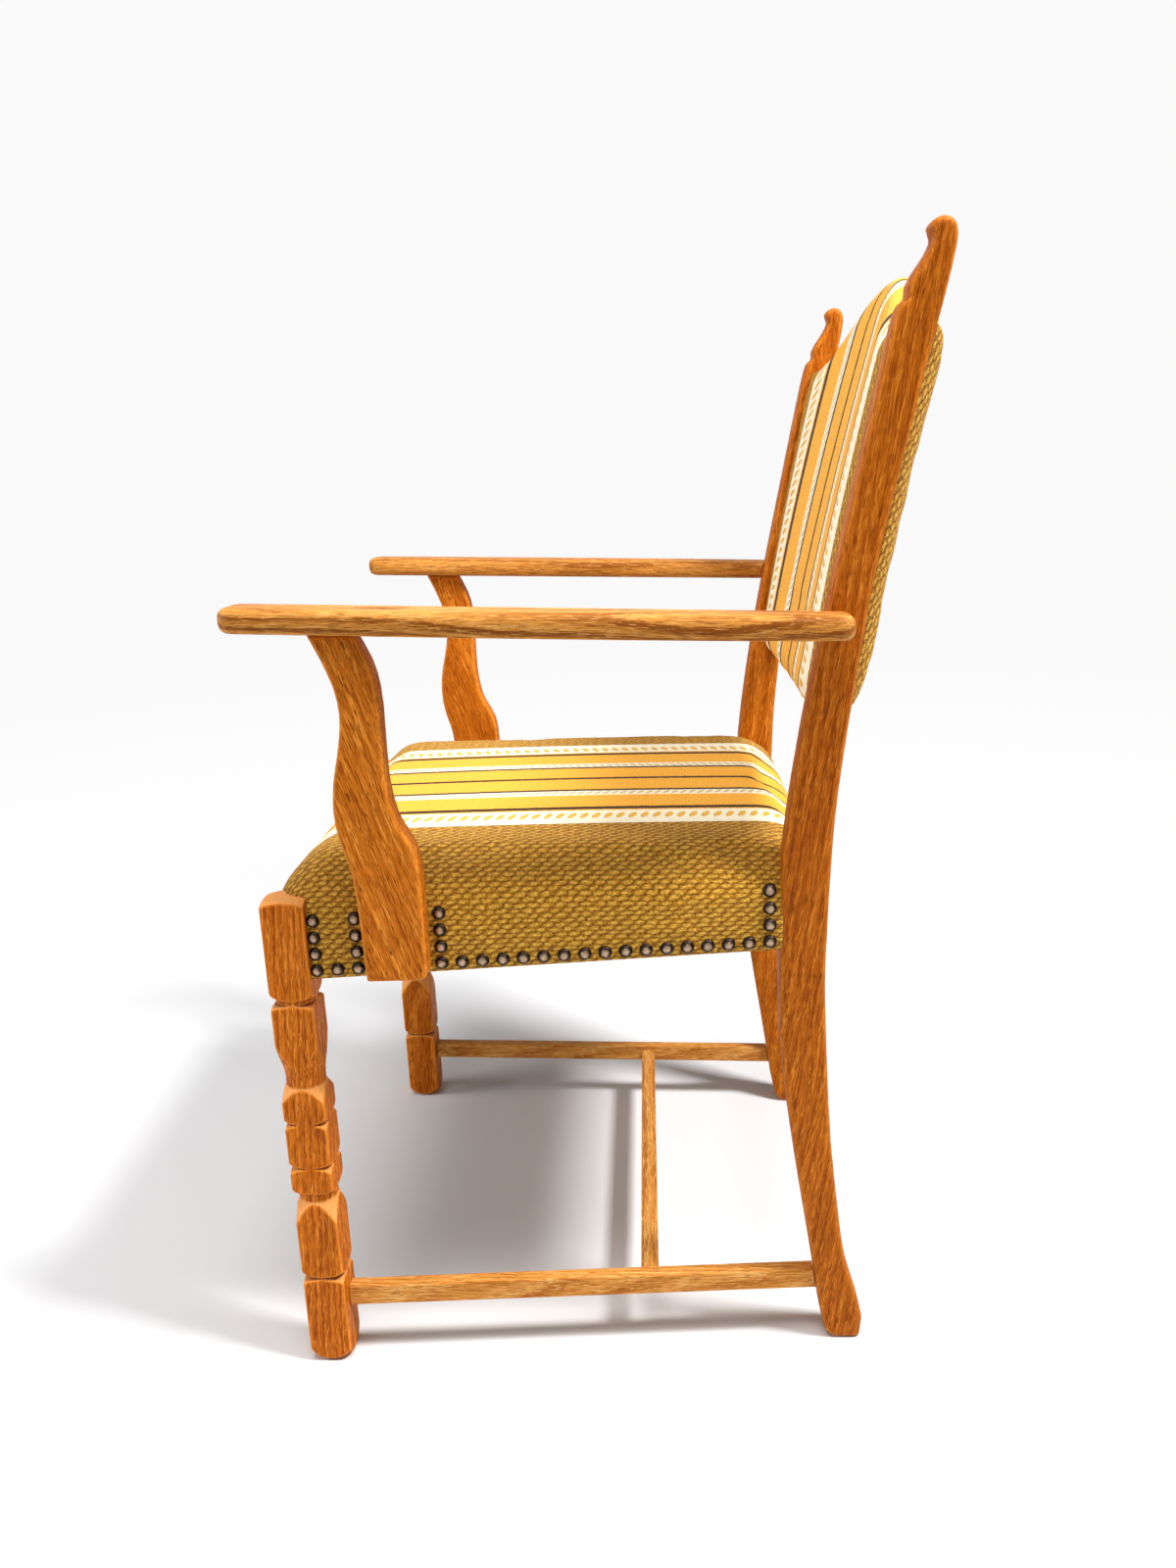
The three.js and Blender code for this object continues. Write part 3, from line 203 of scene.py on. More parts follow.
def feed(tree, node, sockets):
    """Sets a node's inputs, each to a value or to a link from another node."""
    for name, value in sockets.items():
        if isinstance(value, bpy.types.NodeSocket):
            tree.links.new(value, node.inputs[name])
        else:
            node.inputs[name].default_value = value


def step(tree, kind, sockets=None, **settings):
    """One shader node with its settings and inputs."""
    made = tree.nodes.new("ShaderNode" + kind)
    for name, value in settings.items():
        setattr(made, name, value)
    feed(tree, made, sockets or {})
    return made


def maths(tree, operation, first, second=0.0, third=0.0, clamp=False):
    return step(tree, "Math", {0: first, 1: second, 2: third}, operation=operation, use_clamp=clamp).outputs[0]


def times(tree, first, second):
    return maths(tree, "MULTIPLY", first, second)


def scaled(tree, value, factor, added, clamp=False):
    """The value times a factor, and something added."""
    return maths(tree, "MULTIPLY_ADD", value, factor, added, clamp)


def bumped(tree, height, strength, distance):
    return step(tree, "Bump", {"Height": height, "Strength": strength, "Distance": distance}).outputs[0]


def graded(tree, value, low, high):
    """0 below low, 1 above high, smooth between."""
    return step(tree, "MapRange", {"Value": value, "From Min": low, "From Max": high},
                interpolation_type="SMOOTHSTEP").outputs[0]


def blended(tree, share, first, second):
    return step(tree, "Mix", {0: share, 6: first, 7: second}, data_type="RGBA").outputs[2]


def stretched(tree, vector, x, y, z):
    return step(tree, "VectorMath", {0: vector, 1: (x, y, z)}, operation="MULTIPLY").outputs[0]


def cloudy(tree, vector, scale, detail=2.0, roughness=0.5):
    return step(tree, "TexNoise", {"Vector": vector, "Scale": scale, "Detail": detail,
                                   "Roughness": roughness}).outputs["Fac"]


def paint(red, green, blue):
    """A colour as it is seen, from 0 to 255, as the light that it gives back."""
    shares = [value / 255 for value in (red, green, blue)]
    return tuple(s / 12.92 if s < 0.04045 else ((s + 0.055) / 1.055) ** 2.4 for s in shares) + (1.0,)


def new_group(name, inputs, outputs):
    """A node group. An input with no value is a vector, and one with four numbers is a colour."""
    group = bpy.data.node_groups.new(name, "ShaderNodeTree")
    for label, value in inputs.items():
        kind = "Vector" if value is None else "Color" if isinstance(value, tuple) else "Float"
        socket = group.interface.new_socket(label, in_out="INPUT", socket_type="NodeSocket" + kind)
        if value is not None:
            socket.default_value = value
    for label in outputs:
        kind = "Color" if label == "Color" else "Float"
        group.interface.new_socket(label, in_out="OUTPUT", socket_type="NodeSocket" + kind)
    return group, group.nodes.new("NodeGroupInput").outputs, group.nodes.new("NodeGroupOutput")


def new_material(name):
    material = bpy.data.materials.new(name)
    material.use_nodes = True
    return material, material.node_tree, material.node_tree.nodes["Principled BSDF"]


def own_place(tree):
    return step(tree, "TexCoord").outputs["Object"]


def in_millimetres(tree, turn, heart=(0, 0, 0)):
    """The place on the piece in millimetres, turned and moved, such as to the heart of a log."""
    return step(tree, "Mapping", {"Vector": own_place(tree), "Rotation": turn, "Location": heart,
                                  "Scale": (1000, 1000, 1000)}).outputs[0]


def make_grain_group():
    """Open-grained wood in millimetres, its grain along z: growth rings, pores, flecks and tone."""
    group, given, out = new_group("wood grain", {
        "Vector": None, "Light": paint(220, 150, 80), "Middle": paint(190, 115, 50), "Deep": paint(150, 80, 28),
        "Pore": paint(90, 45, 15), "Ring Pitch": 4.0, "Ring Strength": 0.5, "Pores": 0.6, "Wander": 10.0},
        ("Color", "Roughness", "Height"))
    place = given["Vector"]
    drift = step(group, "TexNoise", {"Vector": stretched(group, place, 1, 1, 0.30), "Scale": 0.018,
                                     "Detail": 1.5}).outputs["Color"]
    drifted = step(group, "VectorMath", {0: drift, 1: (-0.5, -0.5, -0.5)}, operation="ADD").outputs[0]
    moved = step(group, "VectorMath", {0: drifted, "Scale": given["Wander"]}, operation="SCALE").outputs[0]
    bent = step(group, "VectorMath", {0: place, 1: moved}, operation="ADD").outputs[0]
    flat = stretched(group, bent, 1, 1, 0)
    radius = step(group, "VectorMath", {0: flat}, operation="LENGTH").outputs["Value"]
    ragged = cloudy(group, stretched(group, place, 1, 1, 0.04), 1.1, 2.0)
    turns = scaled(group, ragged, 0.5, maths(group, "DIVIDE", radius, given["Ring Pitch"]))
    saw = maths(group, "FRACT", turns)
    late = times(group, graded(group, saw, 0.15, 0.9), graded(group, saw, 1.0, 0.93))
    fresh = maths(group, "SUBTRACT", 1.0, saw)
    wide = cloudy(group, stretched(group, place, 1, 1, 0.10), 0.045, 3.0)
    streak = cloudy(group, stretched(group, bent, 1, 1, 0.045), 0.50, 3.0, 0.65)
    fine = cloudy(group, stretched(group, bent, 1, 1, 0.06), 1.15, 2.0, 0.6)
    deep_share = times(group, late, given["Ring Strength"])
    for noise, low, high, share in (
            (wide, 0.30, 0.72, 0.30), (streak, 0.34, 0.68, 0.46), (fine, 0.38, 0.62, 0.36)):
        deep_share = scaled(group, graded(group, noise, low, high), share, deep_share)
    light_half = blended(group, graded(group, deep_share, 0.05, 0.62), given["Light"], given["Middle"])
    coloured = blended(group, graded(group, deep_share, 0.62, 1.30), light_half, given["Deep"])
    pore_line = graded(group, cloudy(group, stretched(group, bent, 1, 1, 0.07), 1.25), 0.55, 0.63)
    pore_place = scaled(group, times(group, fresh, fresh), 0.75, 0.4, clamp=True)
    pore = times(group, pore_line, pore_place)
    pored = blended(group, times(group, pore, given["Pores"]), coloured, given["Pore"])
    fleck = graded(group, cloudy(group, stretched(group, bent, 1, 1, 0.08), 0.85), 0.58, 0.66)
    relief = scaled(group, fine, 0.10, times(group, streak, 0.12))
    feed(group, out, {"Color": blended(group, times(group, fleck, 0.6), pored, given["Light"]),
                      "Roughness": scaled(group, pore, 0.22, scaled(group, fine, 0.12, 0.42)),
                      "Height": scaled(group, pore, -0.28, relief)})
    return group


grain_group = make_grain_group()
# Pale peach of the turned end grain: its real paler tone, and painted light where it faces up.
lit_end_grain_colour = paint(250, 178, 104)


def wood(name, turn, heart, colours, ring_pitch, ring_strength, pores, wander=10.0, shine=0.07):
    """Wood with its grain turned along the piece and its rings round a heart in millimetres."""
    material, tree, shader = new_material(name)
    light, middle, deep, pore = colours
    grain = step(tree, "Group", {
        "Vector": in_millimetres(tree, turn, heart), "Light": light, "Middle": middle, "Deep": deep,
        "Pore": pore, "Ring Pitch": ring_pitch, "Ring Strength": ring_strength, "Pores": pores,
        "Wander": wander}, node_tree=grain_group).outputs
    wear_and_painted_light = step(tree, "Attribute", attribute_name="wear_and_painted_light").outputs["Fac"]
    # Turned end grain that faces up is painted paler: real end grain tone, and painted top light.
    lit_end_grain_share = step(tree, "Attribute", attribute_name="lit end grain").outputs["Fac"]
    lit_end_grain_mix = blended(tree, times(tree, lit_end_grain_share, 0.62), grain["Color"], lit_end_grain_colour)
    # Arrises are lightened for real wear and as a painted highlight. Grooves are darkened as painted shade.
    rubbed_and_highlit = blended(tree, times(tree, graded(tree, wear_and_painted_light, 0.2, 0.9), 0.40), lit_end_grain_mix, light)
    shaded_in_grooves = blended(tree, times(tree, graded(tree, wear_and_painted_light, -0.25, -0.95), 0.70), rubbed_and_highlit, pore)
    feed(tree, shader, {"Base Color": shaded_in_grooves, "Roughness": grain["Roughness"],
                        "Normal": bumped(tree, grain["Height"], 0.8, 0.001), "Specular IOR Level": shine})
    return material


along_x, along_y, along_z = (0, math.pi / 2, 0), (math.pi / 2, 0, 0), (0, 0, 0)
leg_colours = (paint(236, 146, 54), paint(196, 104, 17), paint(148, 66, 4), paint(92, 38, 2))
leg_oak = wood("oiled oak, turned leg", (0.05, 0.03, 0), (-290, 330, 0), leg_colours, 5.5, 0.5, 0.8)
left_leg = carved_leg()
both_sides = ("left", "right")
for side, leg in zip(both_sides, (left_leg, mirrored(left_leg))):
    mark_wear_and_painted_light(new_piece(f"carved_leg_{side}", leg, leg_oak, f"front_leg_{side}"))


# Back posts: sawn from thick oak boards to one curved outline, rounded over all round, with a
# scrolled head. The front edge is planed smooth, and the broad faces show straight, pored grain.
post_colours = (paint(214, 130, 40), paint(174, 90, 10), paint(132, 58, 3), paint(86, 34, 1))
post_oak = wood("oiled oak, back post", (math.radians(9), 0, 0), (-190, 120, 0), post_colours, 7.5, 0.42, 0.7)
post_voxel, post_strokes = 0.0019, 9


def welded_copy(node):
    """The CAD piece's mesh with its loose triangles joined."""
    bm = bmesh.new()
    bm.from_mesh(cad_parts[node].data)
    bmesh.ops.remove_doubles(bm, verts=bm.verts, dist=1e-6)
    return bm


def sanded_piece(name, node, material, voxel, strokes):
    """A sawn oak piece whose curves are sanded until they run without facets."""
    piece = new_piece(name, welded_copy(node), material, node)
    even_and_sanded(piece, voxel, strokes)
    apply_modifiers(piece)
    piece.data.shade_smooth()
    mark_wear_and_painted_light(piece)


for side in both_sides:
    sanded_piece(f"scrolled_post_{side}", f"back_post_{side}", post_oak, post_voxel, post_strokes)


# Stretchers: thin oak bars, planed square with broken arrises, tenoned into legs and posts low
# down, with one cross bar between them. They are the palest wood on the chair.
stretcher_arris = 0.0013
stretcher_colours = (paint(232, 180, 106), paint(206, 138, 62), paint(162, 92, 28), paint(108, 54, 10))
stretcher_oak = wood("oiled oak, side stretcher", along_y, (40, 20, 0), stretcher_colours, 5.0, 0.5, 0.6)
cross_oak = wood("oiled oak, cross stretcher", along_x, (30, 25, 0), stretcher_colours, 5.0, 0.5, 0.6)


def flat_faced(piece, sharp):
    """Keeps a piece's broad faces flat, and lets its edges shade round."""
    piece.data.set_sharp_from_angle(angle=math.radians(sharp))
    piece.modifiers.new("flat faces", "WEIGHTED_NORMAL").keep_sharp = True


def planed_bar(name, node, material, arris):
    """A straight bar with its arrises broken by a plane."""
    bm = welded_copy(node)
    bmesh.ops.dissolve_limit(bm, angle_limit=math.radians(0.5), verts=bm.verts, edges=bm.edges)
    long = [e for e in bm.edges if e.calc_length() > 12 * arris and len(e.link_faces) == 2
            and e.calc_face_angle() > math.radians(30)]
    bmesh.ops.bevel(bm, geom=long, offset=arris, offset_type="OFFSET", affect="EDGES", segments=2,
                    profile=0.5, material=-1, clamp_overlap=True)
    flat_faced(new_piece(name, bm, material, node), 35)


for side in both_sides:
    planed_bar(f"low_bar_{side}", f"side_stretcher_{side}", stretcher_oak, stretcher_arris)
planed_bar("low_bar_cross", "cross_stretcher", cross_oak, stretcher_arris)


# Seat frame: four beech rails, tenoned into legs and posts, with glued and screwed corner blocks.
# It is left raw, because the cover hides all but its lower edges.
rail_arris = 0.0012
beech_colours = (paint(224, 190, 146), paint(206, 168, 122), paint(184, 142, 98), paint(150, 106, 66))


def beech(name, turn, heart=(50, 40, 0)):
    """Raw beech: pale and even, with faint rings and few pores."""
    return wood(f"raw beech, {name}", turn, heart, beech_colours, 3.5, 0.3, 0.3, 6.0, 0.2)


rail_beech = beech("side rails", along_y)
cross_beech = beech("cross rails", along_x)
block_beech = beech("blocks", (0, math.pi / 2, math.pi / 4))
for side in both_sides:
    planed_bar(f"side_rail_{side}", f"seat_rail_{side}", rail_beech, rail_arris)
    for end in ("front", "rear"):
        planed_bar(f"{end}_block_{side}", f"corner_block_{end}_{side}", block_beech, rail_arris)
for end in ("front", "rear"):
    planed_bar(f"{end}_rail", f"seat_rail_{end}", cross_beech, rail_arris)


# Arms: flat oak boards, bowed on the outer edge and fully rounded over. They are cut so that the
# growth rings run out along the edge in long arches.
arm_colours = (paint(220, 162, 88), paint(190, 124, 50), paint(130, 70, 18), paint(82, 38, 6))
arm_oak = wood("oiled oak, arm", (math.pi / 2 + 0.035, 0.02, 0), (-268, 640, 0), arm_colours, 7.5, 0.8, 0.6,
               wander=16.0)
board_voxel, board_strokes = 0.0013, 5
for side in both_sides:
    sanded_piece(f"flat_arm_{side}", f"arm_{side}", arm_oak, board_voxel, board_strokes)


# Arm supports: S-shaped oak boards on the outside of the seat. The grain runs aslant across the
# curve, so that the pores lie diagonally.
support_colours = (paint(226, 142, 50), paint(188, 102, 18), paint(140, 66, 6), paint(76, 30, 2))
support_oak = wood("oiled oak, arm support", (math.radians(-17), 0, 0), (-240, 90, 0), support_colours,
                   6.0, 0.35, 1.0)
for side in both_sides:
    sanded_piece(f"curved_support_{side}", f"arm_support_{side}", support_oak, board_voxel, board_strokes)


# Dowels: beech pegs that join arm to post, arm to support and back to posts, all glued in
# and hidden. Screws: plain steel wood screws through the rails and corner blocks.
def shaped_by_saw(name, node, material, sharp=42):
    """A piece that keeps the shape of its CAD node."""
    flat_faced(new_piece(name, welded_copy(node), material, node), sharp)


def make_steel():
    material, tree, shader = new_material("bright screw steel")
    dull = cloudy(tree, own_place(tree), 900, 4.0)
    colour = blended(tree, graded(tree, dull, 0.4, 0.7), paint(188, 186, 182), paint(140, 134, 126))
    feed(tree, shader, {"Base Color": colour, "Roughness": scaled(tree, dull, 0.3, 0.2), "Metallic": 1.0})
    return material


dowel_beech = beech("dowel", along_x, (20, 10, 0))
screw_steel = make_steel()
dowels = [f"{kind}_{side}" for side in both_sides
          for kind in ("arm_dowel", "support_dowel", "back_dowel_lower", "back_dowel_upper")]
screws = [f"{kind}_{side}" for side in both_sides
          for kind in ("corner_screw_front", "corner_screw_rear", "support_screw_lower", "support_screw_upper")]
for node in dowels:
    shaped_by_saw(f"{node}_peg", node, dowel_beech)
for node in screws:
    shaped_by_saw(f"{node}_bright", node, screw_steel)


# Webbing: jute straps, woven over and under each other and tacked along the rails, and the same
# across the open frame of the back. The weave is coarse and plain.
def make_plain_weave_group():
    """Threads that cross over and under, on a flat place in millimetres: x across, y along."""
    group, given, out = new_group("plain weave", {"Vector": None, "Pitch": 1.8}, ("Height", "Gap", "Fleck"))
    split = step(group, "SeparateXYZ", {0: given["Vector"]}).outputs
    across, along = (maths(group, "DIVIDE", split[i], given["Pitch"]) for i in (0, 1))
    round_x, round_y = (maths(group, "ABSOLUTE", maths(group, "SINE", times(group, threads, math.pi)))
                        for threads in (across, along))
    cell = maths(group, "ADD", maths(group, "FLOOR", across), maths(group, "FLOOR", along))
    over = maths(group, "ABSOLUTE", maths(group, "MODULO", cell, 2.0))
    first, second = (times(group, maths(group, "POWER", round_x, x), maths(group, "POWER", round_y, y))
                     for x, y in ((0.6, 0.35), (0.35, 0.6)))
    height = step(group, "Mix", {0: over, 2: first, 3: second}).outputs[0]
    gap = graded(group, times(group, round_x, round_y), 0.25, 0.05)
    feed(group, out, {"Height": height, "Gap": gap, "Fleck": cloudy(group, given["Vector"], 0.9, 3.0)})
    return group


plain_weave_group = make_plain_weave_group()


def coarse_cloth(name, turn, pitch, light, dark, gap_shade_colour, bump_height):
    material, tree, shader = new_material(name)
    weave = step(tree, "Group", {"Vector": in_millimetres(tree, turn), "Pitch": pitch},
                 node_tree=plain_weave_group).outputs
    thread = blended(tree, graded(tree, weave["Fleck"], 0.35, 0.7), light, dark)
    # The holes between threads take a dark colour: painted shade in the openings of the weave.
    feed(tree, shader, {"Base Color": blended(tree, weave["Gap"], thread, gap_shade_colour),
                        "Normal": bumped(tree, weave["Height"], 1.0, bump_height),
                        "Roughness": 0.9, "Sheen Weight": 0.1})
    return material


def jute(name, turn):
    return coarse_cloth(f"jute webbing, {name}", turn, 1.9, paint(176, 142, 92), paint(140, 106, 62),
                        paint(92, 66, 36), 0.0006)


flat_lying, upright = (0, 0, 0), (math.pi / 2, 0, 0)
seat_straps = [f"seat_strap_along_{i}" for i in (1, 2, 3)] + [f"seat_strap_across_{i}" for i in (1, 2, 3, 4)]
back_straps = [f"back_strap_upright_{side}" for side in both_sides]
back_straps += [f"back_strap_across_{i}" for i in (1, 2, 3)]
for straps, webbing in ((seat_straps, jute("seat", flat_lying)), (back_straps, jute("back", upright))):
    for node in straps:
        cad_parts[node].material_slots[0].material = webbing


# Hessian: an open jute cloth stretched over the seat webbing and tacked to the rails, which keeps
# the stuffing from working down between the straps.
open_hessian = coarse_cloth("hessian", flat_lying, 1.3, paint(184, 150, 98), paint(150, 116, 70),
                            paint(70, 50, 28), 0.0004)
hessian_bm = welded_copy("seat_hessian")
hessian_area = sum(face.calc_area() for face in hessian_bm.faces if face.normal.z > 0.5)
hessian = new_piece("stretched_hessian", hessian_bm, open_hessian, "seat_hessian")
hessian.data.set_sharp_from_angle(angle=math.radians(40))


# Seat stuffing and back stuffing: firm pads with soft wadding, cut to the frames, hidden under the
# covers. Each is a loose, slightly lumpy form.
def make_stuffing(name, light, dark):
    material, tree, shader = new_material(name)
    place = own_place(tree)
    lumps = cloudy(tree, place, 60, 5.0, 0.6)
    hairs = cloudy(tree, stretched(tree, place, 1, 0.2, 1), 900, 3.0)
    feed(tree, shader, {"Base Color": blended(tree, graded(tree, hairs, 0.3, 0.7), light, dark),
                        "Normal": bumped(tree, scaled(tree, hairs, 0.3, lumps), 0.8, 0.002), "Roughness": 0.95})
    return material


stuffing_voxel, stuffing_strokes = 0.006, 4
under_cover = 0.0035


def stuffing(name, node, material):
    piece = new_piece(name, welded_copy(node), material, node)
    even_and_sanded(piece, stuffing_voxel, stuffing_strokes)
    close = piece.modifiers.new("close", "DISPLACE")
    close.mid_level, close.strength = 0.0, -under_cover
    apply_modifiers(piece)
    piece.data.shade_smooth()
    return piece


seat_filling = make_stuffing("seat filling", paint(222, 210, 170), paint(196, 180, 136))
stuffing("seat_stuffing", "seat_pad", seat_filling)
back_filling = make_stuffing("back filling", paint(228, 220, 196), paint(206, 194, 164))
front_filling = stuffing("back_stuffing_front", "back_pad_front", back_filling)
stuffing("back_stuffing_rear", "back_pad_rear", back_filling)


# Striped wool: a heavy furnishing cloth. A group of gold, cream and brown stripes with braids runs
# along its middle, and the plain mustard ground beyond them is a coarse weave of long floats.
stripes_edge = 157.0
chain_start, chain_middle, chain_half_width, chain_lean = 117.0, 133.0, 15.0, 0.35
braid_start, braid_end = 48.5, 64.5
braid_middle, braid_half_width, braid_pitch, braid_lean = 56.0, 9.0, 8.2, 0.6
brown_lines = ((-3.4, 3.4), (42.8, 48.8), (104.6, 113.2))
row_pitch, float_pitch, float_lean = 4.8, 10.9, 0.13
float_half_width, float_half_length = 2.75, 6.1


def make_striped_wool_group():
    """The cloth in millimetres, x across it from the middle stripe and y along it. Its stripes lie alike
    on both sides of the middle, a little unsteady, as threads are."""
    group, given, out = new_group("striped wool", {
        "Vector": None, "Ground": paint(196, 134, 24), "Painted Float Highlight": paint(255, 206, 84),
        "Painted Gap Shade": paint(112, 66, 5), "Gold": paint(255, 196, 70), "Cream": paint(248, 242, 216),
        "Brown": paint(52, 28, 4)}, ("Color", "Height"))
    place = given["Vector"]
    split = step(group, "SeparateXYZ", {0: place}).outputs
    across, along = split[0], split[1]
    shake = cloudy(group, stretched(group, place, 0.2, 1, 0), 0.16, 2.0)
    wobble = scaled(group, shake, 2.4, -1.2)
    out_from_middle = maths(group, "ADD", maths(group, "ABSOLUTE", across), wobble)

    def band(start, end, soft=0.5):
        rise = graded(group, out_from_middle, start - soft, start + soft)
        fall = graded(group, out_from_middle, end + soft, end - soft)
        return times(group, rise, fall)

    def wave(value, pitch, shift=0.0):
        turns = scaled(group, value, 2 * math.pi / pitch, shift)
        return scaled(group, maths(group, "SINE", turns), 0.5, 0.5)

    jostled = step(group, "TexNoise", {"Vector": place, "Scale": 0.11, "Detail": 2.0}).outputs["Color"]
    jostle = step(group, "SeparateXYZ", {0: jostled}).outputs
    loose_x = scaled(group, jostle[0], 4.0, across)
    loose_y = scaled(group, jostle[1], 9.0, along)

    def from_middle(value, pitch, shift):
        turns = maths(group, "FRACT", scaled(group, value, 1 / pitch, shift + 40))
        return scaled(group, turns, pitch, -pitch / 2)

    def long_floats(shift_x, shift_y):
        """Plump floats of yarn, each leaning a little across its row."""
        off_y = from_middle(loose_y, float_pitch, shift_y)
        off_x = scaled(group, off_y, float_lean, from_middle(loose_x, 2 * row_pitch, shift_x))
        far_x = maths(group, "DIVIDE", off_x, float_half_width)
        far_y = maths(group, "DIVIDE", off_y, float_half_length)
        far = scaled(group, far_x, far_x, times(group, far_y, far_y))
        return maths(group, "SUBTRACT", 1.0, far)

    floats = maths(group, "MAXIMUM", long_floats(0.0, 0.0), long_floats(0.5, 0.44))
    floats = maths(group, "MAXIMUM", floats, 0.0)
    yarn = cloudy(group, stretched(group, place, 1, 0.55, 0), 0.75, 3.0, 0.7)
    ground_height = scaled(group, graded(group, yarn, 0.3, 0.7), 0.85, floats)
    # Float tops are painted lighter as a highlight, and the gaps between floats darker as painted shade.
    highlit_floats = blended(group, graded(group, ground_height, 0.9, 1.7), given["Ground"], given["Painted Float Highlight"])
    ground_colour = blended(group, graded(group, ground_height, 0.15, 1.0), given["Painted Gap Shade"], highlit_floats)

    striped = band(0.0, stripes_edge)
    rib = times(group, wave(across, 2.4), scaled(group, wave(along, 3.1, 0.6), 0.5, 0.5))
    # The gold is painted lighter on rib crests and darker between them, as light and shade, with real yarn tone
    # mixed in.
    gold_rib_light_and_yarn_tone = scaled(group, rib, 0.45, times(group, graded(group, yarn, 0.3, 0.7), 0.6), clamp=True)
    gold_colour = blended(group, gold_rib_light_and_yarn_tone, paint(214, 136, 24), given["Gold"])
    gold_height = scaled(group, rib, 0.35, times(group, yarn, 0.35))
    colour = blended(group, striped, ground_colour, gold_colour)
    height = step(group, "Mix", {0: striped, 2: ground_height, 3: gold_height}).outputs[0]

    def lay_over(mask, new_colour, lift, share=1.0):
        """Weaves something over or into the cloth: its colour, and how far it stands up or lies sunk."""
        nonlocal colour, height
        colour = blended(group, mask if share == 1.0 else times(group, mask, share), colour, new_colour)
        height = scaled(group, mask, lift, height)

    def diamond(middle, half_width, pitch, lean):
        """Slanted lens-shaped holes between the strands of a braid."""
        off = maths(group, "DIVIDE", maths(group, "SUBTRACT", out_from_middle, middle), half_width)
        run = maths(group, "FRACT", scaled(group, off, lean, maths(group, "DIVIDE", along, pitch)))
        near = scaled(group, run, 2.0, -1.0)
        return graded(group, scaled(group, near, near, times(group, off, off)), 0.42, 0.22)

    strands = wave(scaled(group, out_from_middle, 0.8, along), float_pitch / 2)
    # The cream is painted darker where its strands lie sunk: painted shade between the strands.
    cream = blended(group, scaled(group, strands, 0.3, 0.7), paint(214, 190, 130), given["Cream"])
    chain = band(chain_start, stripes_edge)
    chain_hole = times(group, chain, diamond(chain_middle, chain_half_width, float_pitch, chain_lean))
    lay_over(chain, cream, scaled(group, strands, 0.4, 0.5))
    lay_over(chain_hole, blended(group, yarn, given["Gold"], paint(196, 146, 60)), -0.8)
    braid = band(braid_start, braid_end)
    lay_over(braid, cream, 0.6)
    braid_hole = times(group, braid, diamond(braid_middle, braid_half_width, braid_pitch, braid_lean))
    lay_over(braid_hole, paint(190, 150, 76), -0.5, 0.75)
    brown = blended(group, graded(group, yarn, 0.55, 0.85), given["Brown"], paint(84, 48, 12))
    for start, end in brown_lines:
        lay_over(band(start, end, 0.4), brown, -0.3)
    feed(group, out, {"Color": colour, "Height": height})
    return group


striped_wool_group = make_striped_wool_group()


def make_striped_wool():
    material, tree, shader = new_material("striped wool")
    laid = step(tree, "UVMap", uv_map="cloth").outputs[0]
    cloth = step(tree, "Group", {"Vector": stretched(tree, laid, 1000, 1000, 0)},
                 node_tree=striped_wool_group).outputs
    feed(tree, shader, {"Base Color": cloth["Color"], "Normal": bumped(tree, cloth["Height"], 1.0, 0.0013),
                        "Roughness": 0.92, "Sheen Weight": 0.08, "Sheen Roughness": 0.5,
                        "Specular IOR Level": 0.15})
    return material


striped_wool = make_striped_wool()


def cloth_grid(cells_across, cells_along, rings):
    """A flat sheet with walls below its edge. Its corners hold shares: x and y from -1 to 1 over the
    sheet, and z one step down for each ring of the wall."""
    bm = bmesh.new()
    bmesh.ops.create_grid(bm, x_segments=cells_across, y_segments=cells_along, size=1)
    for _ in range(rings):
        edge = [e for e in bm.edges if e.is_boundary and e.verts[0].co.z == e.verts[1].co.z
                and e.verts[0].co.z == min(v.co.z for v in bm.verts)]
        new = bmesh.ops.extrude_edge_only(bm, edges=edge)["geom"]
        bmesh.ops.translate(bm, vec=(0, 0, -1), verts=[g for g in new if isinstance(g, bmesh.types.BMVert)])
    return bm


def quarter_roll(left, arc, roll, drawn=False):
    """How far in from the edge a point of the cloth lies, and the sine and cosine of its slope. Its place on
    the cloth is what is left to the end of the arc. Drawn cloth runs evenly to the edge."""
    if left >= arc:
        return roll + left - arc, 0.0, 1.0
    along = 1 - left / arc
    sine = along if drawn else math.sin(along * math.pi / 2)
    return roll * (1 - sine), sine, math.sqrt(max(0.0, 1 - sine * sine))


def roll_length(roll, depth):
    """The length of cloth over a quarter of an ellipse."""
    return math.pi / 4 * (3 * (roll + depth) - math.sqrt((3 * roll + depth) * (roll + 3 * depth)))


# Seat cover: the striped wool drawn tight over the stuffing, down over the rails and nailed along
# their lower edges. It is cut round the leg tops and the posts and swells a little between nails.
seat_low, seat_high = (Vector(corner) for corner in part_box("seat_cover"))
frame_depth = 0.411
post_line = front_line + frame_depth
side_taper = -0.02349
frame_half = leg_x + 0.0135
seat_front = seat_low.y + 0.0002
seat_rear = seat_high.y - 0.0022
seat_bottom, seat_climb = 0.371, 0.017
seat_slack, seat_crown = 0.0058, 0.004
seat_edge = seat_high.z - seat_slack
seat_roll, seat_roll_height_share, seat_arc = 0.052, 0.47, 0.078
seat_wall_rings, seat_wall_step = 9, 0.0060
seat_pressure, seat_swell = 1.6, 0.005
seat_rail_cover = 0.0006
hem_width = 0.010
cover_thickness = 0.0012
cover_gap = 0.0004
post_inner, post_lean = 0.2021, 0.0414
post_face, post_rake = 0.0022, 0.029


def rail_x(y):
    return frame_half + side_taper * (y - front_line)


def rail_z(y):
    return seat_bottom + seat_climb * (y - front_line) / frame_depth


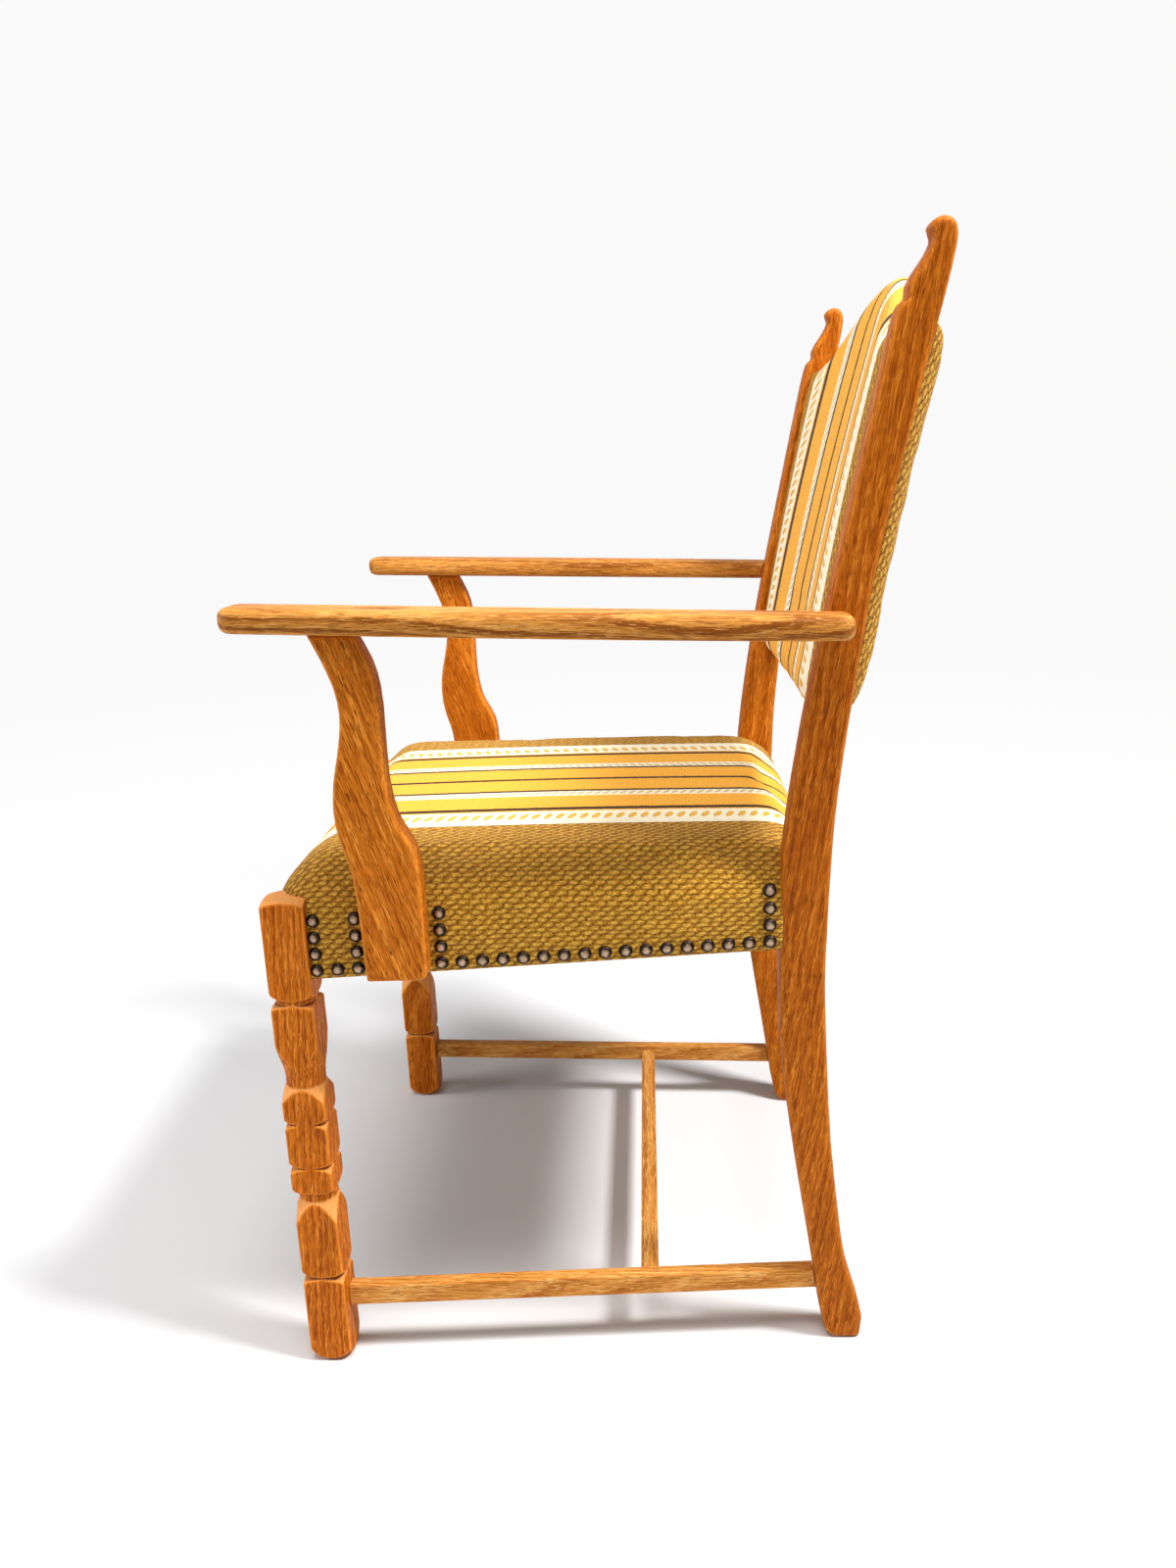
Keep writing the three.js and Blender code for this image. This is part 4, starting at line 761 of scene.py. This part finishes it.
def seat_place(a, b, ring):
    """Where a point of the seat cloth lies, and its place on the flat cloth."""
    middle_y, half_depth = (seat_front + seat_rear) / 2, (seat_rear - seat_front) / 2
    left_y = (1 - abs(b)) * (half_depth - seat_roll + seat_arc)
    in_y, sin_y, cos_y = quarter_roll(left_y, seat_arc, seat_roll)
    half = rail_x(middle_y + math.copysign(half_depth - in_y, b))
    left_x = (1 - abs(a)) * (half - seat_roll + seat_arc)
    in_x, sin_x, cos_x = quarter_roll(left_x, seat_arc, seat_roll)
    down = min(ring, seat_wall_rings) / seat_wall_rings
    corner = 0.30 - 0.20 * down
    in_x += seat_roll * (sin_x - sin_x * math.sqrt(1 - corner * sin_y * sin_y))
    in_y += seat_roll * (sin_y - sin_y * math.sqrt(1 - corner * sin_x * sin_x))
    y = middle_y + math.copysign(half_depth - in_y, b)
    x = math.copysign(half - in_x, a)
    low = rail_z(y) - seat_rail_cover
    wall_top = low + (seat_edge - low) * (1 - seat_roll_height_share)
    swell = seat_crown * (1 - a * a) * (1 - b * b)
    z = wall_top + (seat_edge - wall_top) * cos_x * cos_y + swell
    z -= down * (wall_top - low)
    inward = hem_width if ring > seat_wall_rings else 0.0
    x -= math.copysign(inward, a) * (abs(a) > 0.999)
    y -= math.copysign(inward, b) * (abs(b) > 0.999)
    cloth_x = math.copysign(half - seat_roll + seat_arc - left_x, a)
    cloth_y = math.copysign(half_depth - seat_roll + seat_arc - left_y, b)
    return Vector((x, y, z)), cloth_x, cloth_y


def lay_cloth(bm, place, wall_step, outward):
    """Gives every corner its place, and every face its place on the flat cloth, and faces it outwards."""
    laid = bm.loops.layers.uv.new("cloth")
    ring_layer = bm.verts.layers.float.new("ring")
    found = {}
    for vert in bm.verts:
        vert[ring_layer] = -vert.co.z
        found[vert.index] = place(vert.co.x, vert.co.y, round(-vert.co.z)) + (vert.co.x, vert.co.y)
    for face in bm.faces:
        mean_a = sum(abs(found[v.index][3]) for v in face.verts) / len(face.verts)
        mean_b = sum(abs(found[v.index][4]) for v in face.verts) / len(face.verts)
        for loop in face.loops:
            _, cloth_x, cloth_y, a, b = found[loop.vert.index]
            drop = loop.vert[ring_layer] * wall_step
            if mean_a > 0.9999:
                cloth_x += math.copysign(drop, a)
            elif mean_b > 0.9999:
                cloth_y += math.copysign(drop, b)
            loop[laid].uv = (cloth_x, cloth_y)
    for vert in bm.verts:
        vert.co = found[vert.index][0]
    bmesh.ops.recalc_face_normals(bm, faces=bm.faces)
    bm.normal_update()
    if sum(face.normal.dot(outward) * face.calc_area() for face in bm.faces) < 0:
        bmesh.ops.reverse_faces(bm, faces=bm.faces)
        bm.normal_update()


def swollen(piece, fixed, limit, pressure):
    """The cloth under the pressure of its stuffing: held where it is nailed, free to swell a little, and
    kept by the stuffing from sinking in."""
    rest = [(vert.co.copy(), vert.normal.copy()) for vert in piece.data.vertices]
    piece.vertex_groups.new(name="nailed").add(fixed, 1.0, "REPLACE")
    cloth = piece.modifiers.new("stuffed", "CLOTH")
    for name, value in (("quality", 5), ("mass", 0.4), ("tension_stiffness", 25), ("compression_stiffness", 25),
                        ("shear_stiffness", 12), ("bending_stiffness", 3), ("shrink_min", -0.012),
                        ("use_pressure", True), ("uniform_pressure_force", pressure),
                        ("vertex_group_mass", "nailed")):
        setattr(cloth.settings, name, value)
    cloth.settings.effector_weights.gravity = 0
    cloth.collision_settings.use_collision = False
    cloth.point_cache.frame_start, cloth.point_cache.frame_end = 1, 20
    for number in range(1, 21):
        bpy.context.scene.frame_set(number)
    apply_modifiers(piece)
    bpy.context.scene.frame_set(1)
    for vert, (start, normal) in zip(piece.data.vertices, rest):
        shift = vert.co - start
        out = shift.dot(normal)
        side = shift - normal * out
        side *= min(1.0, 0.4 * limit / max(side.length, 1e-9))
        vert.co = start + side + normal * min(max(out, 0.0), limit)
    piece.vertex_groups.clear()


def cloth_cover(name, bm, node, fixed, limit, pressure):
    """A cover of striped wool that is held at its fixed corners and swells between them."""
    cover = new_piece(name, bm, striped_wool, node)
    swollen(cover, fixed, limit, pressure)
    return cover


def finish_cover(cover):
    cover.data.shade_smooth()
    softened = cover.modifiers.new("fine", "SUBSURF")
    softened.levels = softened.render_levels = 1
    thick = cover.modifiers.new("cloth", "SOLIDIFY")
    thick.thickness, thick.offset = cover_thickness, -1
    apply_modifiers(cover)


nail_pitch, column_pitch = 0.0172, 0.0146
nail_lift = 0.0085
nail_reach, held_round_nail = 0.05, 0.0055
before_support, behind_support, beside_post = 0.0595, 0.130, 0.403
beside_leg, under_support = 0.0243, 0.042
front_row_to_leg, rear_row_half, rear_row_rise = 0.010, 0.205, 0.0015


def evenly(start, end, count):
    return [start + (end - start) * i / count for i in range(count + 1)]


def nail_rows_of_side():
    """Distance behind the front legs' line, and height above the rail's lower edge, for each nail."""
    count = round((beside_post - behind_support) / nail_pitch)
    rows = [(under_support, nail_lift)] + [(y, nail_lift) for y in evenly(behind_support, beside_post, count)]
    for column, first in ((beside_leg, 0), (before_support, 0), (behind_support, 1), (beside_post, 1)):
        rows += [(column, nail_lift + column_pitch * i) for i in range(first, 4)]
    return rows


def nail_places():
    """The start and the direction of a line that each nail of the seat is driven along."""
    lines = []
    for behind, lift in nail_rows_of_side():
        y = front_line + behind
        for sign in (1, -1):
            lines.append((Vector((sign * (rail_x(y) + nail_reach), y, rail_z(y) + lift)),
                          Vector((-sign, 0, 0))))
    half = leg_x - leg_half - front_row_to_leg
    front = [(x, nail_lift) for x in evenly(-half, half, 2 * round(half / nail_pitch))]
    front += [(x, nail_lift + column_pitch * i) for x in (-half, half) for i in (1, 2, 3)]
    lines += [(Vector((x, seat_front - nail_reach, seat_bottom + lift)), Vector((0, 1, 0)))
              for x, lift in front]
    rear_z = seat_bottom + seat_climb + rear_row_rise + nail_lift
    lines += [(Vector((x, seat_rear + nail_reach, rear_z)), Vector((0, -1, 0)))
              for x in evenly(-rear_row_half, rear_row_half, 2 * round(rear_row_half / nail_pitch))]
    return lines


def near_a_nail(place, lines):
    for start, aim in lines:
        off = place - start
        if (off - aim * off.dot(aim)).length < held_round_nail and off.dot(aim) < nail_reach + 0.03:
            return True
    return False


seat_nail_lines = nail_places()


def cut_away(bm, planes):
    """Takes out the cloth where a leg or a post stands: the space behind all of these planes."""
    for point, normal in planes:
        bmesh.ops.bisect_plane(bm, geom=bm.verts[:] + bm.edges[:] + bm.faces[:], plane_co=point,
                               plane_no=normal, dist=1e-6)
    gone = [face for face in bm.faces
            if all((face.calc_center_median() - Vector(point)).dot(Vector(normal)) < 0
                   for point, normal in planes)]
    bmesh.ops.delete(bm, geom=gone, context="FACES")


def make_seat_cover():
    bm = cloth_grid(88, 76, seat_wall_rings + 1)
    lay_cloth(bm, seat_place, seat_wall_step, Vector((0, 0, 1)))
    ring_layer = bm.verts.layers.float["ring"]
    fixed = [vert.index for vert in bm.verts
             if vert[ring_layer] >= seat_wall_rings - 1 or near_a_nail(vert.co, seat_nail_lines)]
    cover = cloth_cover("striped_seat_cover", bm, "seat_cover", fixed, seat_swell, seat_pressure)
    bm = bmesh.new()
    bm.from_mesh(cover.data)
    for sign in (1, -1):
        cut_away(bm, [((sign * (leg_x - leg_half - cover_gap), 0, 0), (-sign, 0, 0)),
                      ((0, front_line + leg_half + leg_rake - 2 * cover_gap, 0),
                       Vector((0, leg_height, leg_rake)).normalized()),
                      ((0, 0, leg_height + cover_gap), (0, 0, 1))])
        cut_away(bm, [((sign * post_inner, 0, 0), Vector((-sign, 0, post_lean)).normalized()),
                      ((0, post_line + post_face, 0.39), Vector((0, -1, post_rake)).normalized())])
    bm.to_mesh(cover.data)
    bm.free()
    finish_cover(cover)
    return cover


seat_cover = make_seat_cover()


# Upholstery nails: dome-headed, of brass darkened to bronze, driven close together along the lower
# edges of the seat and in short columns beside legs, supports and posts. Their tops are rubbed bright, and
# their colour also paints a highlight on the tops and shade at the rims.
nail_radius, nail_height, nail_sunk = 0.0061, 0.0042, 0.0006


def make_bronze():
    material, tree, shader = new_material("darkened bronze")
    rubbed_and_highlit = step(tree, "Attribute", attribute_name="rubbed_and_highlit").outputs["Fac"]
    mottled = cloudy(tree, own_place(tree), 420, 4.0, 0.6)
    # Dark at the rim and pale on top: real rubbed wear, with a painted highlight on the dome and painted shade
    # at its rim.
    wear_and_painted_light = graded(tree, scaled(tree, mottled, 0.4, rubbed_and_highlit), 0.78, 1.12)
    feed(tree, shader, {"Base Color": blended(tree, wear_and_painted_light, paint(36, 24, 14), paint(190, 160, 132)),
                        "Roughness": scaled(tree, mottled, 0.25, 0.22), "Metallic": 0.85})
    return material


def add_nail(bm, place, outward, rubbed_and_highlit_layer):
    """One domed head, lying on the cloth with its rim pressed in."""
    upright = outward.to_track_quat("Z", "Y").to_matrix().to_4x4()
    size = Matrix.Diagonal((nail_radius, nail_radius, nail_height, 1))
    middle = place - outward * nail_sunk
    made = bmesh.ops.create_uvsphere(bm, u_segments=14, v_segments=8, radius=1,
                                     matrix=Matrix.Translation(middle) @ upright @ size)["verts"]
    under = [vert for vert in made if (vert.co - middle).dot(outward) < -2 * nail_sunk]
    bmesh.ops.delete(bm, geom=under, context="VERTS")
    for vert in made:
        if vert.is_valid:
            # The share grows towards the top of the dome, for real wear and as a painted highlight.
            vert[rubbed_and_highlit_layer] = max(0.0, (vert.co - place).dot(outward) / nail_height)


def drive_nails(name, lines, target):
    surface = BVHTree.FromObject(target, bpy.context.evaluated_depsgraph_get())
    bm = bmesh.new()
    rubbed_and_highlit_layer = bm.verts.layers.float.new("rubbed_and_highlit")
    for start, aim in lines:
        place, normal, _, _ = surface.ray_cast(start, aim, 0.12)
        if place is None:
            continue
        if normal.dot(aim) > 0:
            normal = -normal
        add_nail(bm, place, (normal - aim * 1.5).normalized(), rubbed_and_highlit_layer)
    bmesh.ops.holes_fill(bm, edges=[e for e in bm.edges if e.is_boundary], sides=0)
    new_piece(name, bm, make_bronze())


drive_nails("seat_nails", seat_nail_lines, seat_cover)


# Inner frame of the back: two beech stiles with shaped rails tenoned between them, bent to the
# posts' own curve and left raw under the covers.
stile_beech = beech("back stiles", along_z, (40, 30, 0))
for side in both_sides:
    shaped_by_saw(f"back_frame_stile_{side}", f"back_stile_{side}", stile_beech, 30)
shaped_by_saw("back_frame_top", "back_top_rail", cross_beech, 30)
shaped_by_saw("back_frame_foot", "back_low_rail", cross_beech, 30)


# Back covers: the same striped wool, one sheet over the dished front of the back and its rolled
# edges, and one over the fuller rear, sewn to it by hand. The stripes run over the arched top.
chair_height = 0.943
panel_low, panel_rise, panel_rise_half = 0.569, 0.018, 0.23
panel_shoulder, panel_peak, panel_peak_width, panel_peak_power = 0.875, 0.061, 0.130, 2.5
panel_mean_top = 0.905
panel_dish_low, panel_dish_high = 0.011, 0.022
panel_half_at_floor, panel_spread = 0.2015, 0.039
spine = [(0.55637, 0.44323), (0.71197, 0.46972), (0.86756, 0.50339)]
panel_rings, panel_inset = 4, 0.0008
back_pressure = 1.0
front_face, front_wall_end, front_roll, front_hollow = -0.0220, -0.008, 0.073, 0.0070
draw_down = 1.25
stripe_share = 0.84
stuffing_give, stuffing_behind = 0.026, 0.0016


def back_spine(z):
    total = 0.0
    for i, (own_z, own_y) in enumerate(spine):
        share = own_y
        for k, (other_z, _) in enumerate(spine):
            if k != i:
                share *= (z - other_z) / (own_z - other_z)
        total += share
    return total + front_line


def panel_half(z):
    return panel_half_at_floor + panel_spread * z / chair_height


def onto_back(x, depth, z):
    spread = x / panel_half(panel_shoulder)
    rise = (z - panel_low) / (chair_height - panel_low)
    dish = panel_dish_low + (panel_dish_high - panel_dish_low) * rise
    return Vector((x, back_spine(z) + dish * (1 - spread * spread) + depth, z))


def panel_place(face, wall_end, seam, rolls, crown_height, hollow, drawn):
    """Where the cloth lies on one face of the back, with its rolled edge and the wall behind that. The
    rolls are those of the sides, the foot and the top. Drawn cloth runs flat into the dish."""
    toward = math.copysign(1, face - seam)
    depth = abs(face - wall_end)
    roll, foot_roll, top_roll = rolls
    arc = math.hypot(roll, depth) if drawn else roll_length(roll, depth)
    tall = (panel_mean_top - panel_low) / 2

    def place(a, b, ring):
        end_roll = top_roll if b > 0 else foot_roll
        end_arc = roll_length(end_roll, depth)
        left_z = (1 - abs(b)) * (tall - end_roll + end_arc)
        in_z, _, cos_z = quarter_roll(left_z, end_arc, end_roll)
        up = 1 - in_z / tall
        guess_z = panel_low + tall * (1 + math.copysign(up, b))
        half = panel_half(guess_z) - panel_inset
        left_x = (1 - abs(a)) * (half - roll + arc)
        in_x, sin_x, cos_x = quarter_roll(left_x, arc, roll, drawn)
        if drawn:
            cos_x = 1 - sin_x ** draw_down
        x = math.copysign(half - in_x, a)
        low = panel_low + panel_rise * (x / panel_rise_half) ** 2 + panel_inset
        peak = panel_peak * math.exp(-((abs(x) / panel_peak_width) ** panel_peak_power))
        top = panel_shoulder + peak - panel_inset
        middle_z = (low + top) / 2
        z = middle_z + math.copysign(up, b) * (top - low) / 2
        crown = crown_height * (1 - a * a) * (1 - b * b)
        lying = wall_end + toward * (depth * cos_x * cos_z + crown) + hollow * (1 - a * a)
        back = lying + (seam - wall_end) * ring / panel_rings
        cloth_x = math.copysign(half - roll + arc - left_x, a) * (stripe_share if drawn else 1.0)
        cloth_y = math.copysign(tall - end_roll + end_arc - left_z, b)
        return onto_back(x, back, z), cloth_x, cloth_y
    return place


def press_into_hollow(piece):
    """The front stuffing gives way in the middle and towards the sides, where the cloth is drawn in."""
    for vert in piece.data.vertices:
        half = panel_half(vert.co.z)
        vert.co.x -= math.copysign(stuffing_give, vert.co.x) * abs(vert.co.x / half) ** 3
        left = max(0.0, half - abs(vert.co.x))
        fall = max(0.0, 1 - left / front_roll) ** draw_down
        cloth = front_wall_end + (front_face - front_wall_end) * (1 - fall)
        cloth += front_hollow * (1 - (vert.co.x / half) ** 2) + stuffing_behind
        own = vert.co.y - onto_back(vert.co.x, 0, vert.co.z).y
        vert.co.y += max(0.0, cloth - own)


press_into_hollow(front_filling)


def make_back_cover(name, node, face, wall_end, seam, rolls, outward, crown, hollow, drawn, limit):
    bm = cloth_grid(74, 62, panel_rings)
    lay_cloth(bm, panel_place(face, wall_end, seam, rolls, crown, hollow, drawn),
              abs(seam - wall_end) / panel_rings, Vector((0, outward, 0)))
    ring_layer = bm.verts.layers.float["ring"]
    fixed = [vert.index for vert in bm.verts if vert[ring_layer] >= 1]
    finish_cover(cloth_cover(name, bm, node, fixed, limit, back_pressure))


make_back_cover("striped_back_front", "back_cover_front", front_face, front_wall_end, 0.0168,
                (front_roll, 0.022, 0.024), -1, 0.0, front_hollow, True, 0.0010)
make_back_cover("striped_back_rear", "back_cover_rear", 0.0290, 0.0205, 0.0174, (0.014, 0.034, 0.020), 1,
                0.003, 0.0, False, 0.0025)


# Setting: a plain pale floor that takes the chair's soft shadow, a white surround, and four soft
# studio lights, the main one high on the right behind the chair.
floor_bm = bmesh.new()
bmesh.ops.create_grid(floor_bm, x_segments=1, y_segments=1, size=14)
floor = linked_object("floor", floor_bm)


def make_floor_material():
    """Plain and pale, with the shadow near the chair, and white in the distance as the camera sees it."""
    material, tree, shader = new_material("pale floor")
    feed(tree, shader, {"Base Color": (0.74, 0.74, 0.75, 1), "Roughness": 0.9, "Specular IOR Level": 0.1})
    distance = step(tree, "VectorMath", {0: own_place(tree)}, operation="LENGTH").outputs["Value"]
    seen_by_camera = step(tree, "LightPath").outputs["Is Camera Ray"]
    away = times(tree, graded(tree, distance, 0.6, 1.7), seen_by_camera)
    far_tone = scaled(tree, graded(tree, distance, 4.5, 1.3), 0.05, 0.95)
    white = step(tree, "Emission", {"Color": (1, 1, 1, 1), "Strength": far_tone}).outputs[0]
    mixed = step(tree, "MixShader", {0: away, 1: shader.outputs[0], 2: white}).outputs[0]
    feed(tree, tree.nodes["Material Output"], {"Surface": mixed})
    return material


floor.data.materials.append(make_floor_material())

world = bpy.data.worlds.new("white surround")
bpy.context.scene.world = world
world.use_nodes = True
sky = world.node_tree
rays = step(sky, "LightPath").outputs
mirrored_rays = maths(sky, "MAXIMUM", rays["Is Glossy Ray"], rays["Is Transmission Ray"])
seen = maths(sky, "MAXIMUM", rays["Is Camera Ray"], mirrored_rays)
feed(sky, sky.nodes["Background"], {"Color": (1, 1, 1, 1), "Strength": scaled(sky, seen, 0.78, 0.17)})


for name, place, aim_height, width, height, power in (
        ("main light", (0.7, 1.7, 3.0), 0.4, 0.6, 0.6, 146),
        ("front light", (0.25, -2.8, 1.1), 0.55, 1.2, 1.0, 42),
        ("top light", (0.8, -0.2, 2.9), 0.45, 1.4, 1.4, 58),
        ("side light", (2.6, 1.2, 1.6), 0.5, 1.2, 1.2, 3)):
    data = bpy.data.lights.new(name, "AREA")
    data.shape, data.size, data.size_y, data.energy = "RECTANGLE", width, height, power
    light = bpy.data.objects.new(name, data)
    bpy.context.scene.collection.objects.link(light)
    light.location = place
    light.rotation_euler = (Vector((0, 0, aim_height)) - Vector(place)).to_track_quat("-Z", "Y").to_euler()

camera_place = Vector((1.20330986, front_line + 0.30794155, 0.77880885))
camera_yaw, camera_pitch, camera_roll = -0.0530632, 0.25034307, -0.03675674
focal_pixels, picture_height = 1250.067, 1600
level = math.cos(camera_pitch)
forward = Vector((-math.cos(camera_yaw) * level, math.sin(camera_yaw) * level, -math.sin(camera_pitch)))
level_right = forward.cross(Vector((0, 0, 1))).normalized()
level_up = level_right.cross(forward)
right = level_right * math.cos(camera_roll) + level_up * math.sin(camera_roll)
above = level_up * math.cos(camera_roll) - level_right * math.sin(camera_roll)
camera_data = bpy.data.cameras.new("camera")
camera_data.sensor_width = 36
camera_data.lens = focal_pixels / picture_height * camera_data.sensor_width
camera = bpy.data.objects.new("camera", camera_data)
bpy.context.scene.collection.objects.link(camera)
camera.matrix_world = Matrix.Translation(camera_place) @ Matrix((right, above, -forward)).transposed().to_4x4()
bpy.context.scene.camera = camera
bpy.context.scene.view_settings.view_transform = "Standard"
